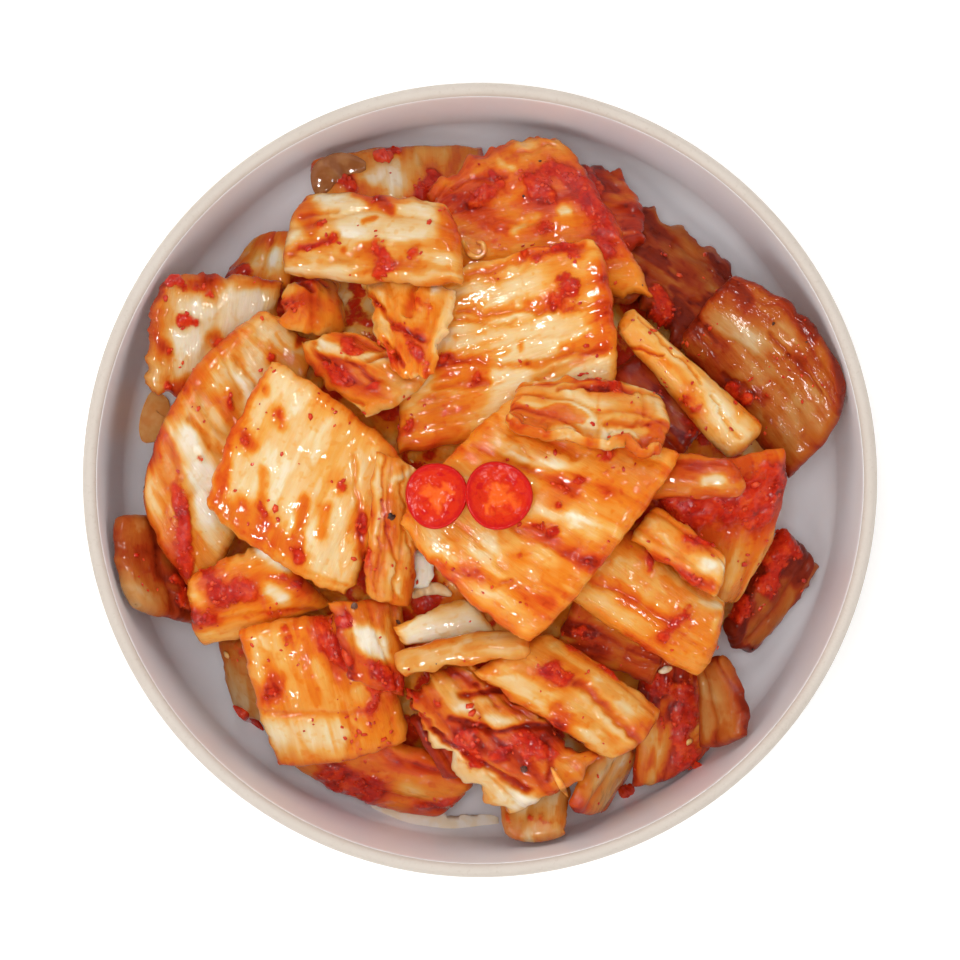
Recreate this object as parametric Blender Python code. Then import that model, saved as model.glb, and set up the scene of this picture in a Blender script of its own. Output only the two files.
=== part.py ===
"""Cabbage kimchi heaped in a round stoneware side-dish bowl.

The bowl is turned. Every cut of cabbage is a closed slab of its own. Its plan is a
four-sided patch with named length, width, heading, taper and bowed edges, and its
height comes from laying it on what is already in the bowl: it settles, bends a little
and stops a small gap above the pieces below. Two slices of red chilli lie on top.
Lengths in the tables are millimetres; meshes are in metres. +Z is up and the origin is
the middle of the foot, on the table.
"""

import math
from dataclasses import dataclass
from typing import Tuple

import bpy
import bmesh
import numpy as np

MM = 0.001

# ---- driving dimensions, millimetres -------------------------------------------------
RIM_RADIUS = 78.1          # outside of the rim
BOWL_HEIGHT = 42.0
WALL = 2.7                 # thickness of the wall at the rim
FLOOR_HEIGHT = 6.0         # top of the floor inside
INNER_DRAFT = 2.0          # how far the wall leans in from rim to floor corner
INNER_CORNER = 8.0         # radius between wall and floor, inside
OUTER_CORNER = 10.0        # radius between wall and underside, outside
FOOT_RADIUS = 50.0         # outside of the foot ring
FOOT_WIDTH = 5.0
FOOT_HEIGHT = 3.0
FOOT_RECESS = 1.4          # height of the hollow inside the foot ring
BOWL_FACETS = 60

HEAP_RADIUS = 60.0         # mean radius of the soaked under-heap
HEAP_EDGE = 8.0            # its thickness near its edge
HEAP_CROWN = 28.0          # its thickness in the middle
HEAP_LOBES = ((3, 1.4, 0.6), (5, 1.1, 2.1), (8, 0.7, 4.0))   # waves, depth, phase
HEAP_SWIRL = (5, 7.0, 0.8)  # waves round it, turn towards the edge, height
HEAP_MAP = (300, 1500)      # how finely the pile's height map reads it
HEAP_RINGS = 6
HEAP_SECTORS = 30

GAP = 0.4                  # air kept between neighbouring pieces
WALL_CLEAR = 74.2          # no cut reaches further out than this
CORNER_ROUND = 0.05        # share by which a cut's corners are drawn in
CELL = 4.4                 # size of a cut's own facets
MAP_STEP = 0.5             # step of the height map that cuts are laid on
PROBES = 12                # test points along a facet's side

CHILLI_THICK = 2.6
CHILLI_ROUND = 0.4         # rounding of a slice's rim, below and above
CHILLI_CELLS = 6

EDGE_THICK = 0.62          # a cut's thickness at its edge, as a share of its thickness
RIB_AT_EDGE = 0.5          # how much of a rib's rise is left at the edge
FRILL_LENGTH = 11.0        # length of one wave of a frilled edge

SETTLE_STEPS = 160         # rounds of lowering a cut onto the pile
FALL_START = 0.35          # how far it falls in the first round
FALL_SLOWS = 0.985         # share of that fall kept from round to round
LIMPNESS = 0.45            # share by which each round evens out its bends

# ---- colours: base colour and roughness ----------------------------------------------
STONEWARE = ((0.78, 0.76, 0.74), 0.25)
CREAM = ((0.86, 0.72, 0.50), 0.25)
AMBER = ((0.80, 0.48, 0.18), 0.22)
ORANGE = ((0.80, 0.30, 0.08), 0.22)
RED = ((0.50, 0.07, 0.02), 0.20)
CHILLI_RED = ((0.75, 0.02, 0.02), 0.18)


@dataclass(frozen=True)
class Cut:
    """One cut of cabbage, seen from above, in millimetres and degrees.

    `at` is the middle of its plan, `size` its length along the ribs and its width,
    `turn` the heading of the ribs. `taper` widens the far end, `slant` shears the near
    and far ends, `bow` rounds out the near, far, left and right edges. `arch` lifts the
    middle across the width and `curl` along the length. `ribs` ridges of `rib_rise`
    run along it, and `frill` is the waviness of its two long edges.
    """

    name: str
    at: Tuple[float, float]
    size: Tuple[float, float]
    turn: float
    thick: float = 3.4
    taper: float = 0.0
    slant: Tuple[float, float] = (0.0, 0.0)
    bow: Tuple[float, float, float, float] = (0.0, 0.0, 0.0, 0.0)
    arch: float = 0.8
    curl: float = 0.4
    ribs: int = 0
    rib_rise: float = 0.5
    frill: float = 0.3
    stiff: float = 0.25
    colour: Tuple = AMBER


# Laid in this order, the lowest first.
CUTS = (
    Cut("cut_left_soaked", (-63.3, -17.4), (20.6, 13.8), -83, 4.0, -0.09, (2.8, 5.5),
        (0, 0, 0, 2.0), colour=RED),
    Cut("cut_lower_left_scrap", (-44.7, -39.8), (17.0, 13.4), -82, 3.5, -0.05, (0.4, 3.5),
        (0, 1.0, 0, 0), colour=RED),
    Cut("cut_bottom_left", (-18.9, -58.2), (31.1, 12.2), -21, 4.5, -0.07, (7.5, 4.0),
        (1.0, 1.0, 0, 2.4), colour=ORANGE),
    Cut("cut_bottom_strip", (-8.2, -52.8), (14.5, 5.6), -58, 4.0, 0.1, (1.0, 1.0),
        (0, 0.8, 0, 0), colour=ORANGE),
    Cut("cut_bottom_amber", (11.0, -63.6), (15.5, 13.5), -91, 4.0, -0.06, (2.3, -0.2),
        (0, 1.5, 0, 0), colour=AMBER),
    Cut("cut_bottom_pale", (25.0, -59.8), (14.9, 8.5), -120, 3.5, -0.15, (-2.1, -1.3),
        (0, 1.0, 0, 0), colour=AMBER),
    Cut("cut_lower_right_dark", (39.4, -46.4), (25.1, 15.5), -92, 4.0, 0.03, (2.4, -8.4),
        (0, 1.5, 0, 0), ribs=2, colour=RED),
    Cut("cut_lower_right_tan", (47.9, -44.2), (17.4, 7.1), -83, 3.6, 0.29, (-1.0, -1.6),
        (0, 0.5, 1.5, 0), colour=AMBER),
    Cut("cut_right_small", (58.4, -23.1), (23.4, 9.8), 56, 4.0, 0.24, (1.5, 1.8),
        (1.0, 0.5, 0, 1.0), frill=0.6, colour=ORANGE),
    Cut("cut_upper_right_dark", (37.1, 41.5), (25.7, 18.6), -33, 3.6, -0.04, (-7.4, 1.5),
        (0, 0, 1.2, 0), ribs=2, frill=0.6, colour=RED),
    Cut("cut_far_right", (56.7, 22.1), (34.8, 20.0), -47, 4.0, 0.11, (-2.5, -5.6),
        (0, 1.0, 2.6, 0), ribs=2, colour=ORANGE),
    Cut("cut_under_right", (35.0, 15.0), (21.0, 20.0), -45, 3.4, 0.0, (2.0, 0.0),
        ribs=2, frill=0.8, colour=RED),
    Cut("cut_under_low_right", (27.0, -31.0), (21.0, 14.0), -20, 3.4, 0.0, (0.0, 0.0),
        ribs=2, frill=0.8, colour=RED),
    Cut("stalk_back", (-16.3, 60.4), (11.9, 33.5), 96, 4.5, 0.07, (1.6, 0.8),
        (0, 1.0, 0, 0), arch=1.2, colour=AMBER),
    Cut("cut_behind_square", (-43.6, 44.5), (10.7, 10.7), 70, 3.0, -0.35, (-2.6, -4.2),
        (0, 1.0, 0, 0), colour=AMBER),
    Cut("cut_left_square", (-53.7, 29.0), (23.4, 23.8), -97, 4.2, -0.03, (-4.0, -2.7),
        (0, 0.6, 0, 0), frill=0.4, colour=CREAM),
    Cut("cut_top_side", (23.0, 54.9), (16.5, 17.4), -8, 3.4, -0.15, (-0.7, -6.4),
        (0, 1.2, 0, 0), frill=0.7, colour=RED),
    Cut("cut_left_ribbed", (-49.4, 8.3), (19.5, 45.8), -54, 4.6, 0.07, (-15.1, -27.7),
        (4.6, 0, 0, 1.5), arch=1.6, ribs=4, rib_rise=0.6, colour=AMBER),
    Cut("cut_left_folded", (-46.5, -22.1), (22.5, 15.1), 20, 4.6, 0.08, (2.8, -7.4),
        (1.0, 0, 0, 1.0), arch=1.4, colour=ORANGE),
    Cut("cut_lower_left_square", (-31.1, -41.3), (28.5, 28.2), -76, 5.0, -0.01, (3.6, 1.2),
        (0.5, 1.0, 0, 0), arch=1.2, curl=1.6, colour=ORANGE),
    Cut("cut_top_orange", (8.9, 50.3), (33.4, 29.2), 10, 4.2, 0.27, (-4.3, -13.2),
        (0, 1.0, 2.6, 0), ribs=3, rib_rise=0.6, frill=0.5, colour=ORANGE),
    Cut("stalk_split", (40.4, 19.4), (35.2, 7.5), -45, 5.4, 0.37, (-1.4, 0.8),
        (0, 0.6, 0, 0), arch=1.2, ribs=2, rib_rise=0.8, stiff=0.8, frill=0.1, colour=CREAM),
    Cut("cut_right_shell", (46.8, -10.2), (27.1, 17.6), -93, 4.4, -0.46, (-7.8, 2.1),
        (0.5, 0.5, 3.2, 0), arch=1.6, colour=ORANGE),
    Cut("cut_under_low", (-21.6, -32.6), (18.0, 12.0), -82, 3.2, -0.15, (1.9, 5.4),
        colour=RED),
    Cut("scrap_white", (-12.4, -17.7), (6.4, 5.3), -92, 2.6, -0.04, (0.4, 0.2),
        (0.6, 0.6, 0.4, 0.4), arch=0.4, frill=0.1, colour=CREAM),
    Cut("cut_middle_ribbed", (4.9, 27.3), (42.8, 31.4), 16, 4.8, -0.03, (12.1, 4.9),
        (0, 1.0, 0.8, 1.0), arch=1.8, ribs=4, rib_rise=0.8, colour=CREAM),
    Cut("cut_white_large", (-34.1, -0.2), (31.7, 33.6), -114, 4.8, 0.0, (7.4, 5.1),
        (0.8, 1.0, 0, 0.6), arch=1.6, curl=1.0, ribs=2, rib_rise=0.5, colour=CREAM),
    Cut("cut_veined", (-17.5, -10.0), (28.6, 8.9), -95, 3.2, 0.03, (2.8, 2.0),
        (0, 0, 0.8, 0), ribs=2, colour=AMBER),
    Cut("cut_crumpled_left", (-33.5, 34.8), (9.3, 11.7), -85, 3.4, 0.18, (-0.7, 2.5),
        (0, 0.8, 0, 0), arch=1.0, colour=RED),
    Cut("cut_crumpled_low", (-22.9, 22.3), (19.5, 12.3), -36, 3.4, 0.28, (7.1, 5.0),
        (0.6, 0.6, 0, 0.8), arch=1.0, ribs=2, rib_rise=0.6, frill=0.6, colour=RED),
    Cut("cut_crumpled_flap", (-14.0, 30.0), (18.0, 13.6), -88, 3.2, -0.4, (3.6, 0.7),
        (0, 1.0, 1.2, 0), arch=0.8, ribs=2, rib_rise=0.7, frill=0.9, colour=ORANGE),
    Cut("cut_white_fan", (-20.9, 47.5), (33.0, 16.7), -5, 4.6, -0.04, (3.2, -4.5),
        (1.0, 0.8, 0.8, 0), arch=1.8, ribs=3, rib_rise=0.8, colour=CREAM),
    Cut("cut_right_thick", (33.9, -23.4), (30.0, 16.5), -35, 5.6, -0.09, (3.9, -4.3),
        (0, 1.2, 0, 1.2), arch=1.8, ribs=2, rib_rise=0.6, colour=ORANGE),
    Cut("cut_pocket_back", (37.5, 0.6), (26.3, 8.3), -1, 4.0, -0.12, (-2.2, -2.1),
        (0, 0.8, 0.8, 0), arch=1.2, ribs=1, rib_rise=0.6, colour=CREAM),
    Cut("cut_pocket_front", (39.6, -13.9), (19.5, 8.1), -36, 4.0, -0.04, (-0.1, -3.2),
        (0, 0.6, 0.6, 0), arch=1.2, ribs=2, rib_rise=0.6, colour=CREAM),
    Cut("cut_low_folded", (2.5, -50.2), (33.2, 17.7), -44, 5.0, 0.13, (4.4, 5.5),
        (0, 0.8, 0, 0.8), arch=0.8, ribs=3, rib_rise=1.2, frill=0.9, colour=ORANGE),
    Cut("cut_low_ribs", (18.2, -42.6), (31.2, 14.1), -34, 5.2, -0.06, (7.8, 3.4),
        (0, 1.2, 0.8, 0), arch=1.8, ribs=3, rib_rise=0.9, colour=CREAM),
    Cut("cut_edge_back", (-8.0, -28.9), (17.6, 6.2), 12, 3.6, 0.35, (-1.4, -5.0),
        (0, 0.4, 0.4, 0), ribs=1, frill=0.2, stiff=0.1, colour=CREAM),
    Cut("cut_edge_front", (-3.4, -34.6), (26.0, 5.0), 9, 3.2, 0.0, (-1.5, 0.0),
        (0.4, 0.4, 1.6, -0.8), frill=0.2, stiff=0.1, colour=CREAM),
    Cut("cut_centre", (10.4, -4.5), (35.1, 41.8), -32, 5.0, 0.15, (6.9, 5.2),
        (1.0, 0.6, 0.8, 1.6), arch=2.4, curl=1.0, ribs=4, rib_rise=0.7, colour=ORANGE),
    Cut("cut_rolled_lip", (20.6, 13.0), (29.1, 9.9), -7, 3.8, 0.15, (1.9, -2.3),
        (0.6, 1.0, 1.4, 0), arch=1.6, ribs=1, rib_rise=0.7, frill=0.7, stiff=0.08, colour=RED),
)

CHILLIES = (
    Cut("chilli_left", (-8.5, -3.0), (12.2, 13.2), 90, CHILLI_THICK, arch=0.2, curl=0.0,
        frill=0.0, stiff=1.0, colour=CHILLI_RED),
    Cut("chilli_right", (3.6, -3.0), (13.2, 13.6), 90, CHILLI_THICK, arch=0.2, curl=0.0,
        frill=0.0, stiff=1.0, colour=CHILLI_RED),
)


# ---- objects and materials -----------------------------------------------------------
def clear_scene() -> None:
    """Remove every object of the open scene."""
    for item in list(bpy.data.objects):
        bpy.data.objects.remove(item, do_unlink=True)


def finish(name: str, look: Tuple) -> bpy.types.Material:
    """A Principled material of one colour and roughness, named after its sub-part."""
    colour, rough = look
    material = bpy.data.materials.new(name)
    material.use_nodes = True
    shader = material.node_tree.nodes["Principled BSDF"]
    shader.inputs["Base Color"].default_value = (*colour, 1.0)
    shader.inputs["Roughness"].default_value = rough
    shader.inputs["Metallic"].default_value = 0.0
    return material


def put(name: str, mesh: bpy.types.Mesh, look: Tuple) -> bpy.types.Object:
    """Link a finished mesh as one named object, smooth except at sharp edges."""
    mesh.materials.append(finish(name, look))
    mesh.shade_smooth()
    mesh.set_sharp_from_angle(angle=math.radians(50))
    item = bpy.data.objects.new(name, mesh)
    bpy.context.scene.collection.objects.link(item)
    return item


def mesh_from(name: str, points: np.ndarray, faces: list) -> bpy.types.Mesh:
    """A mesh from points in millimetres and faces given as point numbers."""
    mesh = bpy.data.meshes.new(name)
    mesh.from_pydata((points * MM).tolist(), [], faces)
    mesh.validate()
    return mesh


# ---- bowl ----------------------------------------------------------------------------
def arc(centre: Tuple[float, float], radius: float, start: float, end: float, steps: int):
    """Points of an arc in the profile plane, angles in degrees, ends included."""
    angles = np.radians(np.linspace(start, end, steps + 1))
    return [(centre[0] + radius * math.cos(a), centre[1] + radius * math.sin(a)) for a in angles]


def inner_profile() -> list:
    """The glazed inside of the bowl, from the middle of the floor to the rim."""
    corner_radius = RIM_RADIUS - WALL - INNER_DRAFT - INNER_CORNER
    corner = arc((corner_radius, FLOOR_HEIGHT + INNER_CORNER), INNER_CORNER, -90, 0, 5)
    return [(0.0, FLOOR_HEIGHT)] + corner


def rim_profile() -> list:
    """The rounded rim, from its inner side over the top to its outer side."""
    half = WALL / 2
    return arc((RIM_RADIUS - half, BOWL_HEIGHT - half), half, 180, 0, 4)


def outer_profile() -> list:
    """The bare outside, from under the rim down to the foot ring and its hollow."""
    side = RIM_RADIUS - INNER_DRAFT / 2
    centre = (side - OUTER_CORNER, FOOT_HEIGHT + OUTER_CORNER)
    foot_inside = FOOT_RADIUS - FOOT_WIDTH
    foot = [
        (FOOT_RADIUS + 1.5, FOOT_HEIGHT),
        (FOOT_RADIUS, 0.0),
        (foot_inside, 0.0),
        (foot_inside - 1.0, FOOT_RECESS),
        (0.0, FOOT_RECESS),
    ]
    return arc(centre, OUTER_CORNER, 0, -90, 4) + foot


def make_bowl() -> bpy.types.Object:
    """Turn the bowl's profile about +Z and close it on its axis."""
    profile = inner_profile() + rim_profile() + outer_profile()
    work = bmesh.new()
    points = [work.verts.new((x * MM, 0.0, z * MM)) for x, z in profile]
    edges = [work.edges.new(pair) for pair in zip(points, points[1:])]
    bmesh.ops.spin(work, geom=points + edges, cent=(0, 0, 0), axis=(0, 0, 1),
                   angle=2 * math.pi, steps=BOWL_FACETS, use_merge=True)
    bmesh.ops.remove_doubles(work, verts=work.verts, dist=1e-6)
    bmesh.ops.recalc_face_normals(work, faces=work.faces)
    mesh = bpy.data.meshes.new("bowl")
    work.to_mesh(mesh)
    work.free()
    return put("bowl", mesh, STONEWARE)


# ---- the height map that cuts are laid on --------------------------------------------
class Pile:
    """Heights of everything already in the bowl, on a square map seen from above."""

    def __init__(self) -> None:
        self.half = int(RIM_RADIUS / MAP_STEP) + 4
        line = (np.arange(2 * self.half + 1) - self.half) * MAP_STEP
        across, along = np.meshgrid(line, line, indexing="ij")
        rim = [rim_profile()[0], (RIM_RADIUS, BOWL_HEIGHT)]
        profile = np.array(inner_profile() + rim)
        flats = math.cos(math.pi / BOWL_FACETS)
        reach = np.hypot(across, along) / flats + MAP_STEP
        self.top = np.interp(reach, profile[:, 0], profile[:, 1]) + GAP / 2

    def cells(self, x: np.ndarray, y: np.ndarray) -> Tuple[np.ndarray, np.ndarray]:
        """The map cells that points fall in."""
        column = np.clip(np.rint(x / MAP_STEP).astype(int) + self.half, 0, 2 * self.half)
        row = np.clip(np.rint(y / MAP_STEP).astype(int) + self.half, 0, 2 * self.half)
        return column, row

    def height(self, x: np.ndarray, y: np.ndarray) -> np.ndarray:
        """The height of what lies at each point."""
        return self.top[self.cells(x, y)]

    def add(self, x: np.ndarray, y: np.ndarray, z: np.ndarray) -> None:
        """Raise the map under points of a new surface, one cell wider all round."""
        layer = np.full_like(self.top, -np.inf)
        np.maximum.at(layer, self.cells(x, y), z)
        for axis in (0, 1):
            back = np.roll(layer, 1, axis)
            ahead = np.roll(layer, -1, axis)
            layer = np.maximum(layer, np.maximum(back, ahead))
        self.top = np.maximum(self.top, layer)


# ---- grids ---------------------------------------------------------------------------
class Grid:
    """Numbering and test points of a grid of `rows` by `columns` cells.

    Each cell is split from its first to its third corner, so a test point at shares
    (s, t) across the cell is a fixed blend of the cell's four corners.
    """

    def __init__(self, rows: int, columns: int) -> None:
        self.rows, self.columns = rows, columns
        self.number = np.arange((rows + 1) * (columns + 1)).reshape(rows + 1, columns + 1)
        n = self.number
        self.corners = np.stack([n[:-1, :-1], n[1:, :-1], n[1:, 1:], n[:-1, 1:]], -1).reshape(-1, 4)
        s, t = np.meshgrid(np.linspace(0, 1, PROBES), np.linspace(0, 1, PROBES))
        s, t = s.ravel(), t.ravel()
        lower = np.stack([1 - s, s - t, t, 0 * s], -1)
        upper = np.stack([1 - t, 0 * s, s, t - s], -1)
        self.shares = np.where((t <= s)[:, None], lower, upper)

    def probe(self, values: np.ndarray) -> np.ndarray:
        """Values at every test point, one row per cell."""
        return values.ravel()[self.corners] @ self.shares.T

    def spread(self, amounts: np.ndarray, weigh: bool) -> np.ndarray:
        """The most that test points ask of each grid point."""
        out = np.zeros((self.rows + 1) * (self.columns + 1))
        for k in range(4):
            share = self.shares[:, k]
            pull = share / (self.shares ** 2).sum(1) if weigh else (share > 0)
            np.maximum.at(out, self.corners[:, k], (amounts * pull).max(1))
        return out.reshape(self.rows + 1, self.columns + 1)

    def triangles(self) -> list:
        """The grid's triangles, facing up."""
        a, b, c, d = self.corners.T
        return np.concatenate([np.stack([a, b, c], -1), np.stack([a, c, d], -1)]).tolist()

    def border(self) -> np.ndarray:
        """Grid points round the edge, anticlockwise from above."""
        n = self.number
        return np.concatenate([n[:-1, 0], n[-1, :-1], n[:0:-1, -1], n[0, :0:-1]])


def slab(name: str, grid: Grid, x, y, low, high) -> bpy.types.Mesh:
    """A closed solid between two heights over one grid of plan points."""
    under = np.stack([x, y, low], -1).reshape(-1, 3)
    over = np.stack([x, y, high], -1).reshape(-1, 3)
    count = len(under)
    faces = [tuple(count + i for i in face) for face in grid.triangles()]
    faces += [tuple(reversed(face)) for face in grid.triangles()]
    ring = grid.border()
    for a, b in zip(ring, np.roll(ring, -1)):
        faces += [(a, b, count + b), (a, count + b, count + a)]
    return mesh_from(name, np.concatenate([under, over]), faces)


# ---- laying a cut --------------------------------------------------------------------
def plan(cut: Cut, u: np.ndarray, v: np.ndarray) -> Tuple[np.ndarray, np.ndarray]:
    """Plan position of a cut's points; u runs along the ribs and v across, 0 to 1."""
    r, s = 2 * u - 1, 2 * v - 1
    length, width = cut.size
    near, far, left, right = cut.bow
    shear = cut.slant[0] * (1 - u) + cut.slant[1] * u
    corner = 1 - CORNER_ROUND * (r * s) ** 4
    along = r * length / 2 * corner + shear * s / 2 + (1 - s * s) * (far * u - near * (1 - u))
    across = s * width / 2 * (1 + cut.taper * r) * corner
    across = across + (1 - r * r) * (left * v - right * (1 - v))
    waves = 2 * math.pi * length / FRILL_LENGTH
    across = across + cut.frill * s * np.sin(waves * u + cut.turn)
    turn = math.radians(cut.turn)
    x = cut.at[0] + along * math.cos(turn) - across * math.sin(turn)
    y = cut.at[1] + along * math.sin(turn) + across * math.cos(turn)
    inside = np.minimum(1.0, WALL_CLEAR / np.maximum(np.hypot(x, y), 1.0))
    return x * inside, y * inside


def own_form(cut: Cut, u: np.ndarray, v: np.ndarray) -> np.ndarray:
    """The height a cut keeps by itself: arched across and curled along."""
    r, s = 2 * u - 1, 2 * v - 1
    return cut.arch * (1 - s * s) + cut.curl * (1 - r * r)


def thickness(cut: Cut, u: np.ndarray, v: np.ndarray) -> np.ndarray:
    """Thickness: full inside, ridged by the ribs and thinner along the edges."""
    ridge = np.cos(2 * math.pi * cut.ribs * (v - 0.5)) if cut.ribs else 0 * v
    edge = np.minimum(np.minimum(u, 1 - u), np.minimum(v, 1 - v)) < 1e-6
    body = cut.thick + cut.rib_rise * ridge * (cut.ribs > 0)
    return np.where(edge, EDGE_THICK * cut.thick + RIB_AT_EDGE * (body - cut.thick), body)


def flat_fit(x: np.ndarray, y: np.ndarray, z: np.ndarray) -> np.ndarray:
    """The plane that lies closest to a set of heights."""
    terms = np.stack([np.ones(x.size), x.ravel(), y.ravel()], -1)
    plane = np.linalg.lstsq(terms, z.ravel(), rcond=None)[0]
    return (terms @ plane).reshape(x.shape)


def smooth(z: np.ndarray) -> np.ndarray:
    """Each height as its neighbours foretell it, along both ways of the grid."""
    guess = []
    for axis in (0, 1):
        w = np.moveaxis(z, axis, 0)
        g = w.copy()
        if len(w) > 2:
            g[1:-1] = (w[:-2] + w[2:]) / 2
            g[0] = 2 * w[1] - w[2]
            g[-1] = 2 * w[-2] - w[-3]
        guess.append(np.moveaxis(g, 0, axis))
    return (guess[0] + guess[1]) / 2


def settle(pile: Pile, grid: Grid, x, y, form, stiff: float) -> np.ndarray:
    """Lower a sheet of a given own form until it rests on the pile, bending a little."""
    probe_x, probe_y = grid.probe(x), grid.probe(y)
    ground = pile.height(probe_x, probe_y) + GAP
    z = np.full(x.shape, ground.max()) + form
    fall = FALL_START
    for _ in range(SETTLE_STEPS):
        shape = z - form - fall
        shape = (1 - LIMPNESS) * shape + LIMPNESS * smooth(shape)
        shape = (1 - stiff) * shape + stiff * flat_fit(x, y, shape)
        z = shape + form
        z = z + grid.spread(np.maximum(ground - grid.probe(z), 0.0), weigh=True)
        fall *= FALL_SLOWS
    return z + grid.spread(np.maximum(ground - grid.probe(z), 0.0), weigh=False)


def lay(pile: Pile, cut: Cut) -> bpy.types.Object:
    """Build one cut as a slab resting on the pile, and add it to the pile."""
    rows, columns = (max(3, round(side / CELL)) for side in cut.size)
    grid = Grid(rows, columns)
    u, v = np.meshgrid(np.linspace(0, 1, rows + 1), np.linspace(0, 1, columns + 1), indexing="ij")
    x, y = plan(cut, u, v)
    low = settle(pile, grid, x, y, own_form(cut, u, v), cut.stiff)
    high = low + thickness(cut, u, v)
    pile.add(grid.probe(x).ravel(), grid.probe(y).ravel(), grid.probe(high).ravel())
    return put(cut.name, slab(cut.name, grid, x, y, low, high), cut.colour)


def lay_disc(pile: Pile, cut: Cut) -> bpy.types.Object:
    """Build one chilli slice: the square grid is drawn in to a round one."""
    grid = Grid(CHILLI_CELLS, CHILLI_CELLS)
    ticks = np.linspace(-1, 1, CHILLI_CELLS + 1)
    r, s = np.meshgrid(ticks, ticks, indexing="ij")
    across = r * np.sqrt(1 - s * s / 2) * cut.size[0] / 2
    along = s * np.sqrt(1 - r * r / 2) * cut.size[1] / 2
    x, y = cut.at[0] + across, cut.at[1] + along
    edge = np.maximum(abs(r), abs(s)) > 0.99
    low = settle(pile, grid, x, y, np.where(edge, CHILLI_ROUND, 0.0), cut.stiff)
    high = low + np.where(edge, cut.thick - 2 * CHILLI_ROUND, cut.thick)
    pile.add(grid.probe(x).ravel(), grid.probe(y).ravel(), grid.probe(high).ravel())
    return put(cut.name, slab(cut.name, grid, x, y, low, high), cut.colour)


def heap_form(share: np.ndarray, angle: np.ndarray) -> Tuple:
    """Points of the under-heap's top at a share of the way out and an angle."""
    reach = HEAP_RADIUS + sum(d * np.sin(n * angle + p) for n, d, p in HEAP_LOBES)
    waves, twist, height = HEAP_SWIRL
    rise = HEAP_EDGE + (HEAP_CROWN - HEAP_EDGE) * (1 - share ** 2)
    rise = rise + height * np.sin(waves * angle + twist * share) * share
    return share * reach * np.cos(angle), share * reach * np.sin(angle), rise


def make_heap(pile: Pile) -> bpy.types.Object:
    """The soaked under-heap: a low uneven dome of tangled leaf on the bowl's floor."""
    share = np.linspace(0, 1, HEAP_RINGS + 1)[1:]
    angle = np.linspace(0, 2 * math.pi, HEAP_SECTORS, endpoint=False)
    share, angle = np.meshgrid(share, angle, indexing="ij")
    x, y, rise = heap_form(share, angle)
    base = FLOOR_HEIGHT + GAP
    top = np.stack([x, y, base + rise], -1).reshape(-1, 3)
    rim = np.stack([x[-1], y[-1], np.full(HEAP_SECTORS, base)], -1)
    points = np.concatenate([top, rim, [[0, 0, base + HEAP_CROWN], [0, 0, base]]])
    crown, middle = len(points) - 2, len(points) - 1
    faces = []
    for k in range(HEAP_SECTORS):
        m = (k + 1) % HEAP_SECTORS
        faces.append((crown, k, m))
        for ring in range(HEAP_RINGS):
            a, b = ring * HEAP_SECTORS + k, ring * HEAP_SECTORS + m
            faces += [(a, a + HEAP_SECTORS, b + HEAP_SECTORS), (a, b + HEAP_SECTORS, b)]
        faces.append((middle, len(top) + m, len(top) + k))
    share, angle = np.meshgrid(np.linspace(0, 1, HEAP_MAP[0]),
                               np.linspace(0, 2 * math.pi, HEAP_MAP[1]))
    x, y, rise = heap_form(share, angle)
    pile.add(x.ravel(), y.ravel(), (base + rise + GAP).ravel())
    return put("heap_core", mesh_from("heap_core", points, faces), RED)


def main() -> None:
    """Build the bowl, the under-heap, every cut from the lowest up, and the chillies."""
    clear_scene()
    make_bowl()
    pile = Pile()
    make_heap(pile)
    for cut in CUTS:
        lay(pile, cut)
    for chilli in CHILLIES:
        lay_disc(pile, chilli)


main()
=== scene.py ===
"""Looks of a bowl of cabbage kimchi: glaze, cabbage, chilli paste, chilli slices, light.

Every piece takes its place from the frame. Lengths inside the shape functions are
millimetres; meshes are put in metres. u runs along a cut's ribs and v across them.
"""

import logging
import math
from dataclasses import dataclass
from enum import Enum
from typing import Callable, Dict, Sequence, Tuple, Union

import bpy
import numpy as np
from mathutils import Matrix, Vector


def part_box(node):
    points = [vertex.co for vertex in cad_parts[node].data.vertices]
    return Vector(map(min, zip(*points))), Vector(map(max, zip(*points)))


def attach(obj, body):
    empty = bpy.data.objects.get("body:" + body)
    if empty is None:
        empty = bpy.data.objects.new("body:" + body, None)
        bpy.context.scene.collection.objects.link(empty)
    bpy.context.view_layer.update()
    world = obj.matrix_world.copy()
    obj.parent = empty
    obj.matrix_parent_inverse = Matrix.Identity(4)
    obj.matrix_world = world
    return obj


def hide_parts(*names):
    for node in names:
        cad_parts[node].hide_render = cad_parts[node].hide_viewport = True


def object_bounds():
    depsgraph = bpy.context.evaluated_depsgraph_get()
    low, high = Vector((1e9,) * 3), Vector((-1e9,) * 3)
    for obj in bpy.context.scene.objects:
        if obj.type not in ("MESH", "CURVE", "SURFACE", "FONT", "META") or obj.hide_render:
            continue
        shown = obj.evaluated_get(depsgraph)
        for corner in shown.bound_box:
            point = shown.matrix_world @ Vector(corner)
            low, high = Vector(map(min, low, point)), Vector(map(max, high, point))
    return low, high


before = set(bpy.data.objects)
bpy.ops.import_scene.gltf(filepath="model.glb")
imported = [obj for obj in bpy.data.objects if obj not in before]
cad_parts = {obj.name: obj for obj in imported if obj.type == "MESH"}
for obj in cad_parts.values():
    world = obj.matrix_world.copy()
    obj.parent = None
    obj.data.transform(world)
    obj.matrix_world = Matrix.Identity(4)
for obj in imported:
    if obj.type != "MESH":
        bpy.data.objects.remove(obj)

CAD_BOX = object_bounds()

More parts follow.
